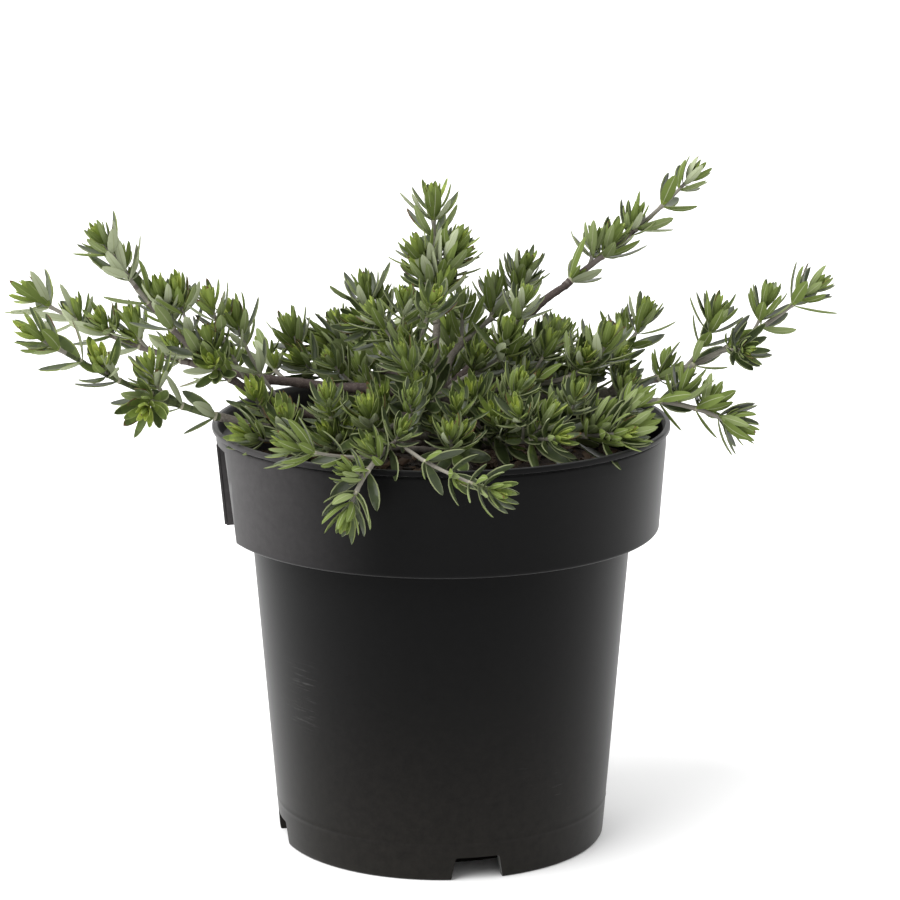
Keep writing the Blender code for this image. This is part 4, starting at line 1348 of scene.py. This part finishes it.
def tube(path, radii, sides):
    """Points, faces and the ring of each face of a tube with closed ends."""
    along = np.gradient(path, axis=0)
    along /= np.linalg.norm(along, axis=1)[:, None]
    side = unit(np.cross(along[0], (0.2, 0.1, 1.0)))
    rings, marks = [], []
    turns = np.linspace(0.0, math.tau, sides, endpoint=False)
    for centre, way, radius in zip(path, along, radii):
        side = unit(side - way * np.dot(side, way))
        other = np.cross(way, side)
        rings.append(centre + radius * (np.outer(np.cos(turns), side)
                                        + np.outer(np.sin(turns), other)))
    points = np.concatenate([[path[0]], *rings, [path[-1]]])
    last = len(points) - 1
    faces = []
    for ring in range(len(path) - 1):
        low = 1 + ring * sides
        for number in range(sides):
            after = (number + 1) % sides
            faces.append((low + number, low + after, low + sides + after, low + sides + number))
            marks.append(ring)
    for number in range(sides):
        after = (number + 1) % sides
        faces.append((0, 1 + after, 1 + number))
        faces.append((last, last - sides + number, last - sides + after))
        marks += [0, len(path) - 1]
    return points, faces, marks


class TubeSet:
    """Tubes gathered into the arrays of one mesh."""

    def __init__(self):
        self.points, self.faces, self.slots, self.maps, self.greys = [], [], [], [], []
        self.count = 0

    def add(self, path, radii, sides, slots=None, grey=0.0):
        points, faces, marks = tube(path, radii, sides)
        distance = along_twig(path)
        body = [((index - 1) % sides / sides, distance[(index - 1) // sides])
                for index in range(1, len(points) - 1)]
        self.maps += [(0.5, 0.0), *body, (0.5, distance[-1])]
        self.points.append(points)
        self.greys += [grey] * len(points)
        self.faces += [tuple(corner + self.count for corner in face) for face in faces]
        self.slots += [slots[mark] if slots else 0 for mark in marks]
        self.count += len(points)

    def piece(self, name, looks):
        piece = array_mesh(name, np.concatenate(self.points), self.faces, self.slots, looks)
        layer = piece.data.uv_layers.new(name="along_stem")
        corners = np.zeros(len(piece.data.loops), dtype=np.int32)
        piece.data.loops.foreach_get("vertex_index", corners)
        places = np.array(self.maps)[corners]
        starts = np.zeros(len(piece.data.polygons), dtype=np.int32)
        totals = np.zeros(len(piece.data.polygons), dtype=np.int32)
        piece.data.polygons.foreach_get("loop_start", starts)
        piece.data.polygons.foreach_get("loop_total", totals)
        for start, total in zip(starts, totals):
            around = places[start:start + total, 0]
            if around.max() - around.min() > 0.5:
                around[around < 0.5] += 1.0
        layer.data.foreach_set("uv", places.astype(np.float32).reshape(-1))
        felt = piece.data.attributes.new("grey_felt", "FLOAT", "POINT")
        felt.data.foreach_set("value", np.array(self.greys, dtype=np.float32))
        return piece


class ROSEMARY_OT_limbs(bpy.types.Operator):
    """Model the trunk and its bare boughs with the relief of their bark"""
    bl_idname = "rosemary.limbs"
    bl_label = "Trunk and boughs"
    bl_options = {"REGISTER", "UNDO"}

    def execute(self, context):
        settings = context.scene.rosemary_plant
        limbs = TubeSet()
        rises = np.linspace(-2.5, TRUNK_HEIGHT + 1.0, 70)
        path = np.array([trunk_centre(rise) for rise in rises])
        radii = np.array([trunk_radius(max(rise, 0.0)) for rise in rises])
        radii *= 1.0 + 0.04 * np.sin(rises * 0.9) + 0.03 * np.sin(rises * 2.3 + 1.0)
        radii[-4:] *= (0.97, 0.88, 0.70, 0.35)
        limbs.add(path, radii, TRUNK_SIDES, grey=0.35)
        for spray in grown_sprays(settings):
            if spray.cut:
                limbs.add(*bough_line(spray), BOUGH_SIDES, grey=0.85 * spray.grey)
        piece = limbs.piece("trunk_and_boughs", [bark_look(settings)])
        for name, size, depth in (("ridges", 0.0026, 0.0006), ("cracks", 0.0009, 0.00028)):
            clouds = bpy.data.textures.new(name, "CLOUDS")
            clouds.noise_scale = size
            apply_modifier(piece, "DISPLACE", texture=clouds, strength=depth, mid_level=0.5)
            bpy.data.textures.remove(clouds)
        boughs = [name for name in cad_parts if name.startswith("bough_")]
        settle(piece, "bark", "trunk", *boughs)
        return {"FINISHED"}


def bough_line(spray):
    """A bough's axis and radii, rooted in the trunk and swollen at its leaf scars."""
    path, radii = spray.path[:spray.cut + 1], spray.radii[:spray.cut + 1]
    into = path[0] - unit(path[1] - path[0]) * trunk_radius(TRUNK_HEIGHT) * 0.9
    path = np.concatenate([[into], path])
    radii = np.concatenate([[radii[0] * 1.25], radii])
    path, radii, places = resampled(path, radii, 0.8)
    sway = np.stack([np.sin(places * 0.31 + spray.azimuth), np.cos(places * 0.27),
                     0.6 * np.sin(places * 0.23 + 1.0)], axis=1)
    path = path + sway * 0.35 * np.clip(places / 20.0, 0.0, 1.0)[:, None]
    collar = 1.0 + 0.35 * np.exp(-(places / 5.0) ** 2)
    return path, radii * collar * (1.0 + 0.16 * knots(places, np.arange(9.0, 200.0, 11.5)))


# Twig colours: old, grey, felted, new, at the leaf scars, and two of the olive green stem
TWIG_TONES = ((0.072, 0.054, 0.050), (0.128, 0.108, 0.098), (0.216, 0.202, 0.172),
              (0.184, 0.210, 0.100), (0.304, 0.292, 0.216), (0.058, 0.070, 0.032),
              (0.086, 0.107, 0.044))
OLD, FIRST_YEAR, FELTED, NEW, SCAR, OLIVE = range(6)


class ROSEMARY_OT_twigs(bpy.types.Operator):
    """Grow the leafy stems and side shoots on from the boughs"""
    bl_idname = "rosemary.twigs"
    bl_label = "Twigs"
    bl_options = {"REGISTER", "UNDO"}

    def execute(self, context):
        twigs = TubeSet()
        for spray in grown_sprays(context.scene.rosemary_plant):
            for order, (path, radii) in enumerate(spray.twigs):
                path, radii, places = resampled(path, radii, 1.0)
                swollen = knots(places, spray.whorls[order])
                slots = [twig_slot(radius, order, scar, spray)
                         for radius, scar in zip(radii, swollen)]
                stout, sides = (0.96, 8) if order == 0 else (0.9, 6)
                twigs.add(path, radii * stout * (1.0 + 0.3 * swollen), sides, slots)
        looks = [Look(f"twig_tone_{n}", tone, 0.78, Specular_IOR_Level=0.2).material
                 for n, tone in enumerate(TWIG_TONES)]
        settle(twigs.piece("twigs", looks), "bark")
        return {"FINISHED"}


def twig_slot(radius, order, scar, spray):
    """Old wood is dark, young wood grey and felted, the newest is green, and scars are pale."""
    if scar > 0.6:
        return SCAR
    if spray.name == "left_low" and radius > 0.9:
        return OLIVE + int(spray.random.random() < 0.5)
    shade = (radius - TWIG_TIP) + spray.random.uniform(-0.12, 0.12) - 0.5 * spray.grey
    if order:
        return NEW if radius < 0.66 else FELTED
    return OLD if shade > 0.75 else FIRST_YEAR if shade > 0.3 else FELTED


# Stage


class ROSEMARY_OT_stage(bpy.types.Operator):
    """Set up the pale floor, the soft light and the camera"""
    bl_idname = "rosemary.stage"
    bl_label = "Stage"
    bl_options = {"REGISTER", "UNDO"}

    def execute(self, context):
        settings = context.scene.rosemary_stage
        clear_selection()
        bpy.ops.mesh.primitive_plane_add(size=settings.floor_size, location=(0.0, 0.0, 0.0))
        floor = named("pale_floor")
        floor.data.materials.append(Look("pale_floor", (0.93, 0.93, 0.93), 0.9,
                                         Specular_IOR_Level=0.0).material)
        floor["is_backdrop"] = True
        light_studio(settings)
        place_camera(settings)
        context.scene.view_settings.view_transform = "Standard"
        return {"FINISHED"}


def light_studio(settings):
    """An even white surround, a soft light from the left and a softer one from behind."""
    world = bpy.data.worlds.new("white_surround")
    world.use_nodes = True
    world.node_tree.nodes["Background"].inputs["Color"].default_value = (1.0, 1.0, 1.0, 1.0)
    world.node_tree.nodes["Background"].inputs["Strength"].default_value = settings.sky
    bpy.context.scene.world = world
    for name, (direction, spread), strength in (
            ("key_light", KEY_LIGHT, settings.key),
            ("rim_light", RIM_LIGHT, settings.key * RIM_SHARE)):
        bpy.ops.object.light_add(type="SUN", location=Vector(direction))
        lamp = bpy.context.object
        lamp.name = name
        lamp.data.energy = strength
        lamp.data.angle = math.radians(spread)
        lamp.rotation_euler = Vector(direction).to_track_quat("Z", "Y").to_euler()


def place_camera(settings):
    """The photograph's view: from the front, looking a little down."""
    bpy.ops.object.camera_add(location=CAMERA_PLACE,
                              rotation=(math.radians(90.0 - CAMERA_TILT), 0.0, 0.0))
    camera = bpy.context.object
    camera.data.lens = settings.lens
    camera.data.sensor_width = 36.0
    camera.data.clip_end = 50.0
    bpy.context.scene.camera = camera


class ROSEMARY_PT_panel(bpy.types.Panel):
    bl_idname = "ROSEMARY_PT_panel"
    bl_label = "Potted coast rosemary"
    bl_space_type = "VIEW_3D"
    bl_region_type = "UI"
    bl_category = "Rosemary"

    def draw(self, context):
        for group, operators in GROUPS:
            box = self.layout.box()
            settings = getattr(context.scene, group)
            for name in settings.bl_rna.properties.keys():
                if name not in ("rna_type", "name"):
                    box.prop(settings, name)
            for operator in operators:
                box.operator(operator.bl_idname)


GROUPS = (
    ("rosemary_pot", (ROSEMARY_OT_pot,)),
    ("rosemary_mix", (ROSEMARY_OT_mix,)),
    ("rosemary_plant", (ROSEMARY_OT_limbs, ROSEMARY_OT_twigs, ROSEMARY_OT_leaves)),
    ("rosemary_stage", (ROSEMARY_OT_stage,)),
)
SETTINGS = {"rosemary_pot": PotSettings, "rosemary_mix": MixSettings,
            "rosemary_plant": PlantSettings, "rosemary_stage": StageSettings}
OPERATORS = [operator for group, operators in GROUPS for operator in operators]
CLASSES = (*SETTINGS.values(), *OPERATORS, ROSEMARY_PT_panel)


def register():
    for kind in CLASSES:
        bpy.utils.register_class(kind)
    for name, kind in SETTINGS.items():
        setattr(bpy.types.Scene, name, PointerProperty(type=kind))


def unregister():
    for name in SETTINGS:
        delattr(bpy.types.Scene, name)
    for kind in reversed(CLASSES):
        bpy.utils.unregister_class(kind)


def main():
    register()
    bpy.ops.rosemary.pot()
    bpy.ops.rosemary.mix()
    bpy.ops.rosemary.limbs()
    bpy.ops.rosemary.twigs()
    bpy.ops.rosemary.leaves()
    bpy.ops.rosemary.stage()


if __name__ == "__main__":
    main()
